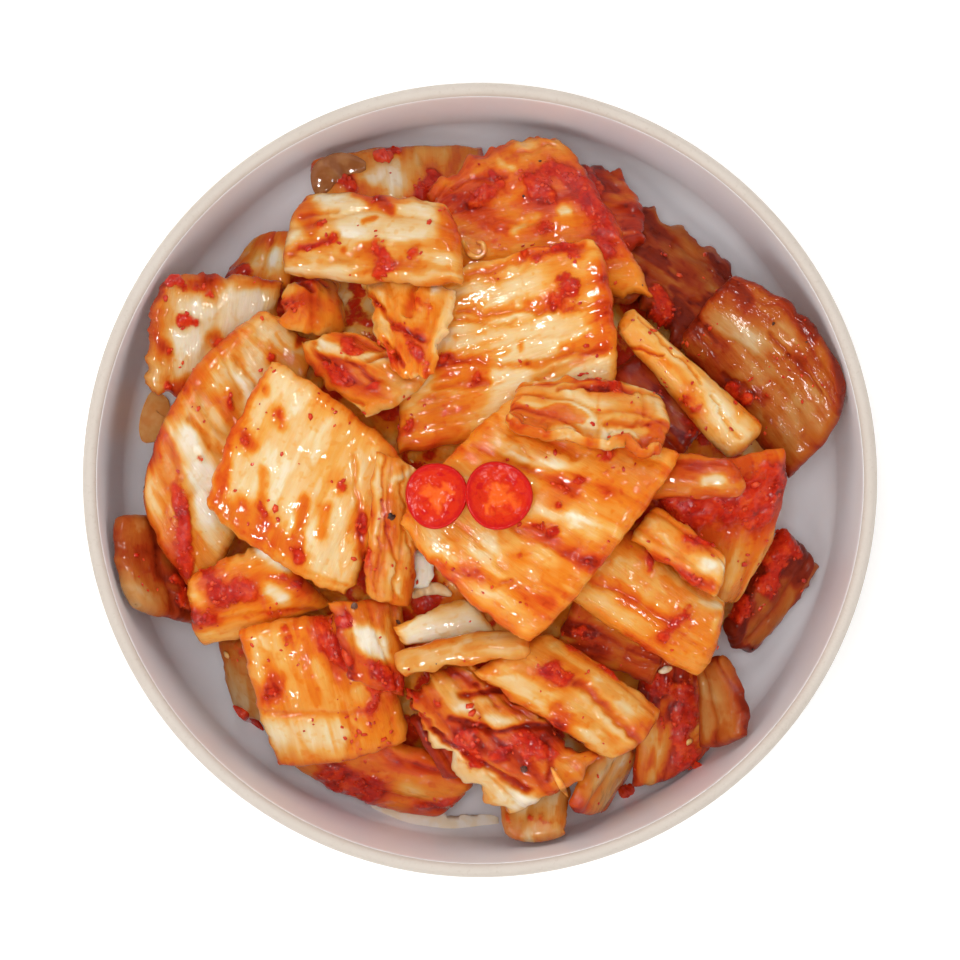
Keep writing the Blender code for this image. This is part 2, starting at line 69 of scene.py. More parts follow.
MM = 0.001
BODY = "root"
MESH_STEP = 0.42           # spacing of a cut's fine grid
CORNER_ROUND = 0.05        # share by which a cut's corners are drawn in
SOLID_STEP = 4.4           # spacing of the solids' own coarse grid
WALL_CLEAR = 74.4          # how far out a cut reaches
WALL_EASE = 2.4            # width of the band in which it is held back
TINT_GAIN = 1.4            # how strongly edges, grooves and washes tint a cut
WASH_LIGHTEST = -0.7       # the most that washes lighten it
WASH_DARKEST = 0.40        # the most that they darken fresh leaf
WASH_SOAKED = 0.35         # and by how much more soaked leaf
CREASE_TINT = 0.30         # darkening of a crease: juice standing in it, and painted shade of the fold
CREASE_DEPTH = 0.65        # depth of a crease of strength 1, mm
HALO_TINT = 0.26           # tint of the juice round a dab of paste
TINT_KNEE = 0.50           # fresh leaf takes up less juice past this tint
TINT_HOLD = 0.42           # share of the tint past the knee that it loses
TINT_MOST = 0.92           # darkest tint of all
UNDER_SHARE = 0.45         # share of a cut's thickness below its middle sheet
LOG = logging.getLogger("kimchi")

Colour = Tuple[float, float, float]
Socket = bpy.types.NodeSocket
Operand = Union[Socket, float, None]
Shade = Union[Socket, Colour]
Sheet = Callable[[np.ndarray, np.ndarray], np.ndarray]


class Slot(Enum):
    """The record's material slots."""

    GLAZE = "stoneware_glazed"
    BARE = "stoneware_bare"
    PALE = "cabbage_pale"
    AMBER = "cabbage_amber"
    RED = "cabbage_red"
    SOAKED = "soaked_leaf"
    CHILLI = "chilli"
    SAUCE = "sauce"


class Side(Enum):
    """The four edges of a cut, seen along its ribs from its near end."""

    NEAR = "near"
    FAR = "far"
    LEFT = "left"
    RIGHT = "right"


# ---- numbers on whole arrays ---------------------------------------------------------
def smoothstep(low: float, high: float, x: np.ndarray) -> np.ndarray:
    """0 below low, 1 above high and a smooth S between.

    Args:
        low: where the step starts.
        high: where it ends.
        x: values.

    Returns:
        The stepped values.
    """
    t = np.clip((x - low) / (high - low), 0.0, 1.0)
    return t * t * (3 - 2 * t)


def lattice(ix: np.ndarray, iy: np.ndarray, seed: int) -> np.ndarray:
    """A repeatable random number from 0 to 1 at each whole-number grid point.

    Args:
        ix: column numbers.
        iy: row numbers.
        seed: picks the pattern.

    Returns:
        One number per grid point.
    """
    wave = np.sin(ix * 127.1 + iy * 311.7 + seed * 74.7) * 43758.5453
    return wave - np.floor(wave)


def noise(x: np.ndarray, y: np.ndarray, seed: int) -> np.ndarray:
    """Smooth random field: lattice numbers blended by an S curve in both directions.

    Args:
        x: first coordinate, one unit per blob.
        y: second coordinate.
        seed: picks the pattern.

    Returns:
        Values from 0 to 1.
    """
    ix, iy = np.floor(x), np.floor(y)
    fx, fy = x - ix, y - iy
    fx, fy = fx * fx * (3 - 2 * fx), fy * fy * (3 - 2 * fy)
    near = lattice(ix, iy, seed) * (1 - fx) + lattice(ix + 1, iy, seed) * fx
    far = lattice(ix, iy + 1, seed) * (1 - fx) + lattice(ix + 1, iy + 1, seed) * fx
    return near * (1 - fy) + far * fy


def fbm(x: np.ndarray, y: np.ndarray, seed: int, layers: int = 3) -> np.ndarray:
    """Sum of noise layers, each twice as fine and half as strong, scaled to 0 to 1.

    Args:
        x: first coordinate.
        y: second coordinate.
        seed: picks the pattern.
        layers: how many layers.

    Returns:
        Values from 0 to 1, mostly near 0.5.
    """
    total = np.zeros(np.broadcast(x, y).shape)
    weight = 0.0
    for k in range(layers):
        total = total + noise(x * 2 ** k, y * 2 ** k, seed + 13 * k) / 2 ** k
        weight += 1 / 2 ** k
    return total / weight


def evened(row: np.ndarray, passes: int) -> None:
    """Smooth a row of values or points in place, ends held: each becomes (1, 2, 1) / 4 of its neighbours."""
    for _ in range(passes):
        row[1:-1] = (row[:-2] + 2 * row[1:-1] + row[2:]) / 4


def thin_plate(points: np.ndarray, stiffness: float = 1e-3) -> Sheet:
    """A smooth sheet through scattered heights (thin plate spline, r * r * log r).

    Args:
        points: x, y and z of each height.
        stiffness: how much the sheet may miss a height to stay smooth.

    Returns:
        A function from x and y arrays to heights.
    """
    xy, z = points[:, :2], points[:, 2]

    def kernel(a: np.ndarray, b: np.ndarray) -> np.ndarray:
        """The spline's bend at points a for loads at points b."""
        square = ((a[:, None, :] - b[None, :, :]) ** 2).sum(-1)
        return 0.5 * square * np.log(square + 1e-12)

    count = len(points)
    flat = np.column_stack([np.ones(count), xy])
    system = np.zeros((count + 3, count + 3))
    system[:count, :count] = kernel(xy, xy) + stiffness * np.eye(count)
    system[:count, count:] = flat
    system[count:, :count] = flat.T
    loads = np.linalg.solve(system, np.concatenate([z, np.zeros(3)]))

    def height(x: np.ndarray, y: np.ndarray) -> np.ndarray:
        """Heights of the sheet at x and y."""
        at = np.column_stack([x.ravel(), y.ravel()])
        value = kernel(at, xy) @ loads[:count] + loads[count] + at @ loads[count + 1:]
        return value.reshape(x.shape)

    return height


# ---- what the frame says -------------------------------------------------------------
def node_faces(node: str) -> Tuple[np.ndarray, np.ndarray]:
    """Corners and normals of a CAD node's triangles.

    Args:
        node: the node's name.

    Returns:
        Corners as (faces, 3, 3) in millimetres, and normals as (faces, 3).
    """
    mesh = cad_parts[node].data
    points = np.empty(len(mesh.vertices) * 3)
    mesh.vertices.foreach_get("co", points)
    corner = np.empty(len(mesh.loops), dtype=int)
    mesh.loops.foreach_get("vertex_index", corner)
    faces = points.reshape(-1, 3)[corner].reshape(-1, 3, 3) / MM
    across = np.cross(faces[:, 1] - faces[:, 0], faces[:, 2] - faces[:, 0])
    return faces, across / np.maximum(np.linalg.norm(across, axis=1, keepdims=True), 1e-12)


def node_side(node: str, up: bool) -> np.ndarray:
    """The points of a CAD node's upper or under side.

    Args:
        node: the node's name.
        up: True for the upper side.

    Returns:
        Distinct points in millimetres.
    """
    faces, normals = node_faces(node)
    chosen = normals[:, 2] > 0.3 if up else normals[:, 2] < -0.3
    return np.unique(np.round(faces[chosen].reshape(-1, 3), 3), axis=0)


# ---- meshes --------------------------------------------------------------------------
def quads(number: np.ndarray) -> np.ndarray:
    """Faces of a grid of point numbers, anticlockwise seen from above.

    Args:
        number: point numbers, first axis along, second across.

    Returns:
        Four point numbers per face.
    """
    return np.stack([number[:-1, :-1], number[1:, :-1], number[1:, 1:], number[:-1, 1:]], -1).reshape(-1, 4)


def around(rings: int, sides: int) -> np.ndarray:
    """Point numbers of rings of points, each ring's first number again at its end."""
    number = np.arange(rings * sides).reshape(rings, sides)
    return np.concatenate([number, number[:, :1]], axis=1)


def halves(faces: np.ndarray) -> np.ndarray:
    """The two triangles of each four-cornered face, all first ones before all second ones."""
    return np.concatenate([faces[:, [0, 1, 2]], faces[:, [0, 2, 3]]])


def fan(hub: int, start: np.ndarray, end: np.ndarray) -> np.ndarray:
    """Triangles from one hub point to steps that run from start to end numbers."""
    return np.stack([np.full(len(start), hub), start, end], -1)


def build(name: str, points: np.ndarray, faces: np.ndarray, marks: Dict[str, np.ndarray],
          material: bpy.types.Material, nodes: Sequence[str] = ()) -> bpy.types.Object:
    """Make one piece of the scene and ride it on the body.

    Args:
        name: the piece's name.
        points: points in millimetres.
        faces: point numbers, three or four to a face.
        marks: numbers per point that the material reads, by attribute name.
        material: its finish.
        nodes: CAD nodes that it stands for.

    Returns:
        The new object.
    """
    mesh = bpy.data.meshes.new(name)
    flat = np.ascontiguousarray(points, dtype=np.float32).reshape(-1, 3) * MM
    mesh.vertices.add(len(flat))
    mesh.vertices.foreach_set("co", flat.ravel())
    side = faces.shape[1]
    mesh.loops.add(faces.size)
    mesh.loops.foreach_set("vertex_index", faces.ravel().astype(np.int32))
    mesh.polygons.add(len(faces))
    mesh.polygons.foreach_set("loop_start", np.arange(0, faces.size, side, dtype=np.int32))
    mesh.update(calc_edges=True)
    mesh.shade_smooth()
    for mark, values in marks.items():
        layer = mesh.attributes.new(mark, "FLOAT_VECTOR" if values.ndim == 2 else "FLOAT", "POINT")
        kind = "vector" if values.ndim == 2 else "value"
        layer.data.foreach_set(kind, np.ascontiguousarray(values, dtype=np.float32).ravel())
    mesh.materials.append(material)
    piece = bpy.data.objects.new(name, mesh)
    bpy.context.scene.collection.objects.link(piece)
    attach(piece, BODY)
    if nodes:
        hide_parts(*nodes)
    LOG.info("%s: %d faces", name, len(faces))
    return piece


# ---- finishes ------------------------------------------------------------------------
class Bench:
    """A material under construction: adds nodes and joins them by socket name."""

    def __init__(self, name: str) -> None:
        """Start an empty Principled material of this name."""
        self.material = bpy.data.materials.new(name)
        self.material.use_nodes = True
        self.tree = self.material.node_tree
        self.shader = self.tree.nodes["Principled BSDF"]

    def node(self, kind: str, **settings: object) -> bpy.types.Node:
        """Add a node of this kind with these properties set."""
        made = self.tree.nodes.new(kind)
        for key, value in settings.items():
            setattr(made, key, value)
        return made

    def join(self, source: Socket, target: Socket) -> None:
        """Link an output socket to an input socket."""
        self.tree.links.new(source, target)

    def set(self, **values: object) -> None:
        """Set the shader's own sockets; underscores stand for spaces."""
        for key, value in values.items():
            self.shader.inputs[key.replace("_", " ")].default_value = value

    def mark(self, name: str, vector: bool = False) -> Socket:
        """The output of a named attribute of the mesh."""
        made = self.node("ShaderNodeAttribute", attribute_name=name)
        return made.outputs["Vector" if vector else "Fac"]

    def place(self) -> Socket:
        """Object coordinates, in metres."""
        return self.node("ShaderNodeTexCoord").outputs["Object"]

    def grain(self, vector: Socket, scale: float, detail: float = 2.0, rough: float = 0.5) -> Socket:
        """Noise of this scale on a coordinate output."""
        made = self.node("ShaderNodeTexNoise")
        made.inputs["Scale"].default_value = scale
        made.inputs["Detail"].default_value = detail
        made.inputs["Roughness"].default_value = rough
        self.join(vector, made.inputs["Vector"])
        return made.outputs["Fac"]

    def math(self, action: str, first: Operand, second: Operand = None, third: Operand = None) -> Socket:
        """A Math node; each operand is a socket or a number."""
        made = self.node("ShaderNodeMath", operation=action)
        for socket, value in zip(made.inputs, (first, second, third)):
            if value is None:
                continue
            if isinstance(value, (int, float)):
                socket.default_value = value
            else:
                self.join(value, socket)
        return made.outputs[0]

    def sway(self, field: Socket, amount: float, level: Socket) -> Socket:
        """The level moved up and down by an amount times a 0 to 1 field less its middle."""
        return self.math("MULTIPLY_ADD", self.math("SUBTRACT", field, 0.5), amount, level)

    def step(self, value: Socket, low: float, high: float) -> Socket:
        """A smooth step of a value from 0 at low to 1 at high."""
        made = self.node("ShaderNodeMapRange", interpolation_type="SMOOTHSTEP")
        made.inputs["From Min"].default_value = low
        made.inputs["From Max"].default_value = high
        self.join(value, made.inputs["Value"])
        return made.outputs["Result"]

    def ramp(self, value: Socket, stops: Sequence[Tuple[float, Colour]]) -> Socket:
        """A colour ramp through these stops."""
        made = self.node("ShaderNodeValToRGB")
        band = made.color_ramp
        while len(band.elements) < len(stops):
            band.elements.new(0.5)
        for element, (at, colour) in zip(band.elements, stops):
            element.position = at
            element.color = (*colour, 1.0)
        self.join(value, made.inputs["Fac"])
        return made.outputs["Color"]

    def mix(self, share: Operand, first: Shade, second: Shade) -> Socket:
        """Blend two colours; each is a socket or a colour."""
        made = self.node("ShaderNodeMix", data_type="RGBA")
        for socket, value in ((made.inputs[0], share), (made.inputs[6], first), (made.inputs[7], second)):
            if isinstance(value, tuple):
                socket.default_value = (*value, 1.0)
            elif isinstance(value, (int, float)):
                socket.default_value = value
            else:
                self.join(value, socket)
        return made.outputs[2]

    def bump(self, height: Socket, strength: float, distance: float,
             sockets: Sequence[str] = ("Normal", "Coat Normal")) -> None:
        """Drive the shader's normals by a height output; distance in metres."""
        made = self.node("ShaderNodeBump")
        made.inputs["Strength"].default_value = strength
        made.inputs["Distance"].default_value = distance
        self.join(height, made.inputs["Height"])
        for socket in sockets:
            self.join(made.outputs["Normal"], self.shader.inputs[socket])


@dataclass(frozen=True)
class CabbageFinish:
    """Wet pickled cabbage: tints from cream to dark red, chilli paste and a wet film."""

    name: str = "cabbage_wet"
    coat: float = 1.0
    polish: float = 0.06
    fresh: Tuple[Tuple[float, Colour], ...] = (
        (0.00, (0.92, 0.85, 0.70)), (0.07, (0.87, 0.75, 0.54)),
        (0.18, (0.84, 0.62, 0.32)), (0.36, (0.83, 0.39, 0.075)),
        (0.54, (0.80, 0.22, 0.012)), (0.72, (0.70, 0.084, 0.006)), (0.88, (0.50, 0.026, 0.003)),
        (1.00, (0.22, 0.008, 0.002)))
    soaked: Tuple[Tuple[float, Colour], ...] = (
        (0.00, (0.58, 0.40, 0.21)), (0.30, (0.50, 0.22, 0.060)), (0.55, (0.43, 0.10, 0.012)),
        (0.80, (0.32, 0.030, 0.004)), (1.00, (0.14, 0.008, 0.002)))
    paste: Tuple[Tuple[float, Colour], ...] = (
        (0.25, (0.34, 0.007, 0.002)), (0.45, (0.52, 0.016, 0.003)), (0.62, (0.64, 0.034, 0.005)),
        (0.85, (0.78, 0.090, 0.010)))

    def material(self) -> bpy.types.Material:
        """Build the material; it reads the marks tint, soak, paste, wet and fibre."""
        b = Bench(self.name)
        place = b.place()
        along = b.mark("fibre", vector=True)
        fibre = b.grain(along, 1.0, 2.0, 0.55)
        vein = b.grain(along, 2.7, 2.0, 0.6)
        grit = b.grain(place, 1000.0, 2.0, 0.6)
        drift = b.grain(place, 300.0, 2.0, 0.5)
        freckle = b.grain(place, 640.0, 1.0, 0.5)
        paste, wet = b.mark("paste"), b.mark("wet")
        tint = b.sway(fibre, 0.08, b.mark("tint"))
        tint = b.sway(vein, 0.10, tint)
        tint = b.sway(drift, 0.12, tint)
        tint = b.math("MULTIPLY_ADD", b.step(freckle, 0.55, 0.75), 0.08, tint)
        tint = b.math("MULTIPLY_ADD", paste, 0.22, tint)
        flesh = b.mix(b.mark("soak"), b.ramp(tint, self.fresh), b.ramp(tint, self.soaked))
        cover = b.sway(drift, 0.9, paste)
        cover = b.sway(grit, 0.9, cover)
        cover = b.step(cover, 0.28, 0.82)
        level = b.sway(grit, 0.6, drift)
        b.join(b.mix(cover, flesh, b.ramp(level, self.paste)), b.shader.inputs["Base Color"])
        b.set(Roughness=0.45, Specular_IOR_Level=0.08, Subsurface_Weight=0.25,
              Subsurface_Scale=0.0025, Subsurface_Radius=(1.0, 0.40, 0.14), IOR=1.4,
              Coat_Weight=self.coat, Coat_Roughness=self.polish, Coat_IOR=1.40)
        ripple = b.math("MULTIPLY_ADD", fibre, 0.45, b.grain(place, 400.0, 1.5, 0.5))
        ripple = b.math("MULTIPLY_ADD", grit, 0.20, ripple)
        lumps = b.math("MULTIPLY_ADD", drift, 0.5, b.math("MULTIPLY", grit, 0.3))
        lumps = b.math("MULTIPLY", lumps, b.math("MULTIPLY_ADD", cover, 0.40, 0.02))
        lumps = b.math("MULTIPLY_ADD", vein, 0.13, lumps)
        b.bump(lumps, 0.8, 0.0011, ("Normal",))
        b.bump(b.math("MULTIPLY", ripple, wet), 1.0, 0.0014, ("Coat Normal",))
        return b.material


@dataclass(frozen=True)
class GlazeFinish:
    """White glaze: faint clouding, a soft gloss, and warmer and thinner towards the rim at `top`."""

    body: Colour = (0.90, 0.92, 0.96)
    cloud: Colour = (0.87, 0.885, 0.92)
    warm: Colour = (0.885, 0.875, 0.875)
    top: float = 0.055

    def material(self) -> bpy.types.Material:
        """Build the material on object coordinates."""
        b = Bench("glaze_white")
        place = b.place()
        cloud = b.grain(place, 34.0, 3.0)
        pin = b.grain(place, 900.0, 1.0)
        shade = b.mix(b.step(cloud, 0.35, 0.7), self.body, self.cloud)
        axes = b.node("ShaderNodeSeparateXYZ")
        b.join(place, axes.inputs[0])
        shade = b.mix(b.step(axes.outputs["Z"], self.top - 0.020, self.top), shade, self.warm)
        b.join(shade, b.shader.inputs["Base Color"])
        b.set(Roughness=0.38, Coat_Weight=0.12, Coat_Roughness=0.20, IOR=1.45)
        b.bump(b.math("ADD", cloud, b.math("MULTIPLY", pin, 0.05)), 0.25, 0.0006)
        return b.material


@dataclass(frozen=True)
class BareStoneFinish:
    """Unglazed beige stoneware: fine sandy grain and darker pinholes."""

    body: Colour = (0.635, 0.56, 0.49)
    dark: Colour = (0.56, 0.475, 0.40)

    def material(self) -> bpy.types.Material:
        """Build the material on object coordinates."""
        b = Bench("stoneware_beige")
        place = b.place()
        sand = b.grain(place, 1400.0, 2.0)
        cloud = b.grain(place, 60.0, 3.0)
        blend = b.math("ADD", b.math("MULTIPLY", b.step(sand, 0.58, 0.75), 0.5),
                       b.math("MULTIPLY", b.step(cloud, 0.4, 0.8), 0.35))
        b.join(b.mix(blend, self.body, self.dark), b.shader.inputs["Base Color"])
        b.set(Roughness=0.62, IOR=1.45)
        b.bump(sand, 0.35, 0.0003)
        return b.material


@dataclass(frozen=True)
class ChilliFinish:
    """Fresh chilli slice: red skin and flesh, orange heart, all wet."""

    skin: Colour = (0.60, 0.008, 0.006)
    flesh: Colour = (0.70, 0.026, 0.003)
    heart: Colour = (0.90, 0.120, 0.010)

    def material(self) -> bpy.types.Material:
        """Build the material; it reads the mark heart, 0 at the skin and 1 in the middle."""
        b = Bench("chilli_slice")
        heart = b.mark("heart")
        speck = b.grain(b.place(), 1200.0, 2.0)
        level = b.sway(speck, 0.25, heart)
        b.join(b.ramp(level, ((0.14, self.skin), (0.26, self.flesh), (0.45, self.flesh),
                              (0.78, self.heart))), b.shader.inputs["Base Color"])
        b.set(Roughness=0.40, Specular_IOR_Level=0.06, Subsurface_Weight=0.15, Subsurface_Scale=0.0015,
              Subsurface_Radius=(1.0, 0.20, 0.08), Coat_Weight=0.3, Coat_Roughness=0.20)
        b.bump(speck, 0.3, 0.0003)
        return b.material


@dataclass(frozen=True)
class WetFinish:
    """Small wet things of one hue: flakes, seeds, specks and juice."""

    name: str
    light: Colour
    dark: Colour
    rough: float = 0.3
    coat: float = 0.6
    clear: float = 0.0

    def material(self) -> bpy.types.Material:
        """Build the material on object coordinates."""
        b = Bench(self.name)
        mottle = b.grain(b.place(), 420.0, 2.0)
        b.join(b.mix(b.step(mottle, 0.35, 0.65), self.dark, self.light), b.shader.inputs["Base Color"])
        b.set(Roughness=self.rough, Coat_Weight=self.coat, Coat_Roughness=0.06,
              Transmission_Weight=self.clear, IOR=1.36)
        b.bump(mottle, 0.2, 0.0003)
        return b.material


# ---- bowl ----------------------------------------------------------------------------
@dataclass
class Bowl:
    """The turned bowl: a bare stoneware body and a glaze skin that lines its inside.

    All sizes are millimetres; radius and height come from the frame.
    """

    wall: float = 2.7
    floor: float = 6.0
    draft: float = 2.0
    inner_corner: float = 8.0
    outer_corner: float = 10.0
    foot_radius: float = 50.0
    foot_width: float = 5.0
    foot_height: float = 3.0
    recess: float = 1.4
    glaze: float = 0.25
    sectors: int = 240

    def __post_init__(self) -> None:
        """Read the outer radius and the height from the frame."""
        low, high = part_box("bowl")
        self.radius = (high.x - low.x) / 2 / MM
        self.height = high.z / MM

    @staticmethod
    def arc(centre: Tuple[float, float], radius: float, start: float, end: float, steps: int) -> np.ndarray:
        """Points of an arc of the profile, angles in degrees, ends included."""
        angle = np.radians(np.linspace(start, end, steps + 1))
        return np.column_stack([centre[0] + radius * np.cos(angle), centre[1] + radius * np.sin(angle)])

    def inside(self, lift: float = 0.0) -> np.ndarray:
        """Profile of the inside from the axis to just under the rim, raised by lift."""
        reach = self.radius - self.wall - self.draft - self.inner_corner
        corner = self.arc((reach, self.floor + self.inner_corner), self.inner_corner - lift, -90, 0, 18)
        flat = np.column_stack([np.linspace(0, reach, 24)[:-1], np.full(23, self.floor + lift)])
        foot_of_wall = corner[-1]
        top = np.array([self.radius - self.wall - 0.25 * lift, self.height - self.wall / 2])
        wall = foot_of_wall + (top - foot_of_wall) * np.linspace(0, 1, 14)[1:, None]
        return np.concatenate([flat, corner, wall])

    def outside(self) -> np.ndarray:
        """Profile of the rim, outer wall, corner, foot ring and its hollow, to the axis."""
        half = self.wall / 2
        rim = self.arc((self.radius - half, self.height - half), half, 170, 0, 14)
        side = self.radius - self.draft / 2
        centre = (side - self.outer_corner, self.foot_height + self.outer_corner)
        corner = self.arc(centre, self.outer_corner, 0, -90, 16)
        wall = rim[-1] + (corner[0] - rim[-1]) * np.linspace(0, 1, 12)[1:-1, None]
        under = np.array([
            (self.foot_radius + 1.5, self.foot_height),
            (self.foot_radius + 0.3, 0.5),
            (self.foot_radius - 0.4, 0.0),
            (self.foot_radius - self.foot_width + 0.4, 0.0),
            (self.foot_radius - self.foot_width - 0.3, 0.5),
            (self.foot_radius - self.foot_width - 1.0, self.recess),
            (0.0, self.recess),
        ])
        return np.concatenate([rim, wall, corner, under])

    def turned(self, profile: np.ndarray) -> Tuple[np.ndarray, np.ndarray]:
        """Carry a profile, open on the axis at both ends, once round +Z.

        Args:
            profile: radius and height of each profile point, both ends on the axis.

        Returns:
            Points and four-cornered faces. Each pole is one ring of tiny radius closed
            by a point that all its faces share.
        """
        angle = np.linspace(0, 2 * np.pi, self.sectors, endpoint=False)
        middle = profile[1:-1]
        ring_x = middle[:, :1] * np.cos(angle)
        ring_y = middle[:, :1] * np.sin(angle)
        ring_z = np.repeat(middle[:, 1:], self.sectors, axis=1)
        points = np.stack([ring_x, ring_y, ring_z], -1).reshape(-1, 3)
        number = around(len(middle), self.sectors)
        poles = np.array([[0, 0, profile[0, 1]], [0, 0, profile[-1, 1]]])
        start = fan(len(points), number[0, :-1], number[0, 1:])
        end = fan(len(points) + 1, number[-1, 1:], number[-1, :-1])
        return np.concatenate([points, poles]), np.concatenate([halves(quads(number)), start, end])

    def make(self) -> None:
        """Build the body and the glaze skin."""
        body_points, body_faces = self.turned(np.concatenate([self.inside(), self.outside()]))
        build("bowl_body", body_points, body_faces, {}, BareStoneFinish().material(), ("bowl",))
        upper = self.inside(self.glaze)
        lower = self.inside(-0.1)[::-1]
        lip = np.array([[self.radius - self.wall + 0.06, self.height - 0.95]])
        points, faces = self.turned(np.concatenate([upper, lip, lower]))
        build("bowl_glaze", points, faces, {}, GlazeFinish(top=self.height * MM).material())


# ---- cabbage -------------------------------------------------------------------------
# A soft stroke on a cut: shares u, v of its start, u, v of its end, half width in mm and
# strength. A spot starts where it ends.
Stroke = Tuple[float, float, float, float, float, float]


def strokes(*rows: Tuple[float, ...]) -> Tuple[Stroke, ...]:
    """Strokes from rows of numbers, so that a table of them stays short.

    Args:
        rows: u, v, u, v, half width and strength of a line, or u, v, half width and
            strength of a spot. The width is in mm and everything else in hundredths.

    Returns:
        The strokes.
    """
    lines = [row if len(row) == 6 else row[:2] + row for row in rows]
    return tuple((a / 100, b / 100, c / 100, d / 100, wide, much / 100) for a, b, c, d, wide, much in lines)


def stroke_field(stroke: Stroke, u: np.ndarray, v: np.ndarray, size: Tuple[float, float]) -> np.ndarray:
    """Strength of a stroke over a cut: a flat-topped bell of the distance from its line.

    Args:
        stroke: the stroke.
        u: shares along the cut.
        v: shares across.
        size: the cut's length and width, mm.

    Returns:
        The stroke's strength at every point.
    """
    u0, v0, u1, v1, width, amount = stroke
    ax, ay = (u - u0) * size[0], (v - v0) * size[1]
    bx, by = (u1 - u0) * size[0], (v1 - v0) * size[1]
    share = np.clip((ax * bx + ay * by) / max(bx * bx + by * by, 1e-9), 0, 1)
    far = np.hypot(ax - share * bx, ay - share * by) / width
    return amount * np.exp(-far ** 2.6)


@dataclass(frozen=True)
class Roll:
    """An edge that rolls up: which edge, the roll's radius in mm and its turn in degrees."""

    side: Side
    radius: float
    degrees: float


@dataclass
class CabbageCut:
    """One cut of cabbage that stands for the CAD node of the same name.

    `size`, `turn`, `thick`, `taper`, `slant` and `bow` describe its plan as in the frame's
    solid. `ribs` ridges run along it. `tint` is 0 for cream, 0.5 for orange and 1 for dark
    red; `edge`, `groove` and `streak` add to it near the edges, between ribs and in
    streaks, `mottle` in clouds and `film` where thin sauce lies. `soak` is how brown and
    clear the leaf has gone, `wet` how rippled its film of juice is. `washes` tint it in
    places, `creases` are sunk lines, in mm, darkened by the juice that they hold and by
    painted shade of the fold, and `dabs` are patches of chilli paste.
    """

    node: str
    size: Tuple[float, float]
    turn: float
    thick: float = 3.4
    taper: float = 0.0
    slant: Tuple[float, float] = (0.0, 0.0)
    bow: Tuple[float, float, float, float] = (0.0, 0.0, 0.0, 0.0)
    ribs: float = 2.0
    rise: float = 0.6
    crumple: float = 0.25
    frill: float = 0.4
    thin: float = 0.25
    tint: float = 0.45
    edge: float = 0.15
    groove: float = 0.15
    streak: float = 0.12
    soak: float = 0.0
    wet: float = 0.5
    mottle: float = 0.16
    film: float = 0.10
    washes: Tuple[Stroke, ...] = ()
    creases: Tuple[Stroke, ...] = ()
    dabs: Tuple[Stroke, ...] = ()
    rolls: Tuple[Roll, ...] = ()
    slot: Slot = Slot.AMBER

    def __post_init__(self) -> None:
        """Read the cut's rest from the frame: its place and the sheet it lies on."""
        self.seed = sum(ord(letter) * (k + 3) for k, letter in enumerate(self.node)) % 997
        under = node_side(self.node, up=False)
        self.sheet = thin_plate(under)
        rows, columns = (max(3, round(side / SOLID_STEP)) for side in self.size)
        u, v = np.meshgrid(np.linspace(0, 1, rows + 1), np.linspace(0, 1, columns + 1), indexing="ij")
        self.at = (0.0, 0.0)
        for _ in range(4):
            x, y = self.placed(*self.flat(u, v))
            self.at = (self.at[0] + under[:, 0].mean() - x.mean(), self.at[1] + under[:, 1].mean() - y.mean())

    def flat(self, u: np.ndarray, v: np.ndarray) -> Tuple[np.ndarray, np.ndarray]:
        """Plan position in the cut's own axes, from its size, taper, slant and bow."""
        r, s = 2 * u - 1, 2 * v - 1
        length, width = self.size
        near, far, left, right = self.bow
        shear = self.slant[0] * (1 - u) + self.slant[1] * u
        corner = 1 - CORNER_ROUND * (r * s) ** 4
        along = r * length / 2 * corner + shear * s / 2 + (1 - s * s) * (far * u - near * (1 - u))
        across = s * width / 2 * (1 + self.taper * r) * corner
        return along, across + (1 - r * r) * (left * v - right * (1 - v))

    def placed(self, along: np.ndarray, across: np.ndarray) -> Tuple[np.ndarray, np.ndarray]:
        """Turn the cut's own axes to its heading, put it in place and keep it off the wall."""
        turn = math.radians(self.turn)
        x = self.at[0] + along * math.cos(turn) - across * math.sin(turn)
        y = self.at[1] + along * math.sin(turn) + across * math.cos(turn)
        reach = np.maximum(np.hypot(x, y), 1.0)
        past = np.clip(reach - (WALL_CLEAR - WALL_EASE), 0, None)
        inside = 1 - (past - WALL_EASE * (1 - np.exp(-past / WALL_EASE))) / reach
        return x * inside, y * inside

    def spacing(self, length: float) -> np.ndarray:
        """Shares along one side: evenly spaced inside, closing up towards both edges."""
        band = min(0.22, 1.6 / length)
        ease = 1 - np.cos(np.linspace(0, np.pi / 2, 7))
        inner = np.linspace(band, 1 - band, max(6, round(length / MESH_STEP)))
        return np.concatenate([ease[:-1] * band, inner, 1 - ease[:-1][::-1] * band])

    def rib_field(self, u: np.ndarray, v: np.ndarray) -> Tuple[np.ndarray, np.ndarray]:
        """Broad ribs with narrow grooves that wander a little along the cut.

        Args:
            u: shares along.
            v: shares across.

        Returns:
            Rib height from 0 to 1, and groove depth from 0 to 1.
        """
        length, width = self.size
        wander = 0.5 * (fbm(u * length / 16, v * width / 9, self.seed + 1) - 0.5)
        phase = self.ribs * (v + wander) + 0.25
        crest = np.abs(np.sin(np.pi * phase))
        return 1 - (1 - crest) ** 2.4, (1 - crest) ** 3

    def masks(self, u: np.ndarray, v: np.ndarray, inset: np.ndarray) -> Dict[str, np.ndarray]:
        """What covers the cut.

        In each fbm the divisors are the blobs' length and width in mm, and the number
        added to the seed only picks the pattern.

        Args:
            u: shares along.
            v: shares across.
            inset: distance to the nearest edge, mm.

        Returns:
            Tint, soak, paste and wet from 0 to 1, and the creases' depth in mm.
        """
        a, b = u * self.size[0], v * self.size[1]
        seed = self.seed
        _, groove = self.rib_field(u, v)
        waver = 0.5 * (fbm(a / 3.4, b / 3.4, seed + 4) - 0.5)
        wu = u + waver * 2.2 / self.size[0]
        wv = v + 2.2 * (fbm(a / 3.1, b / 3.1, seed + 14) - 0.5) / self.size[1]

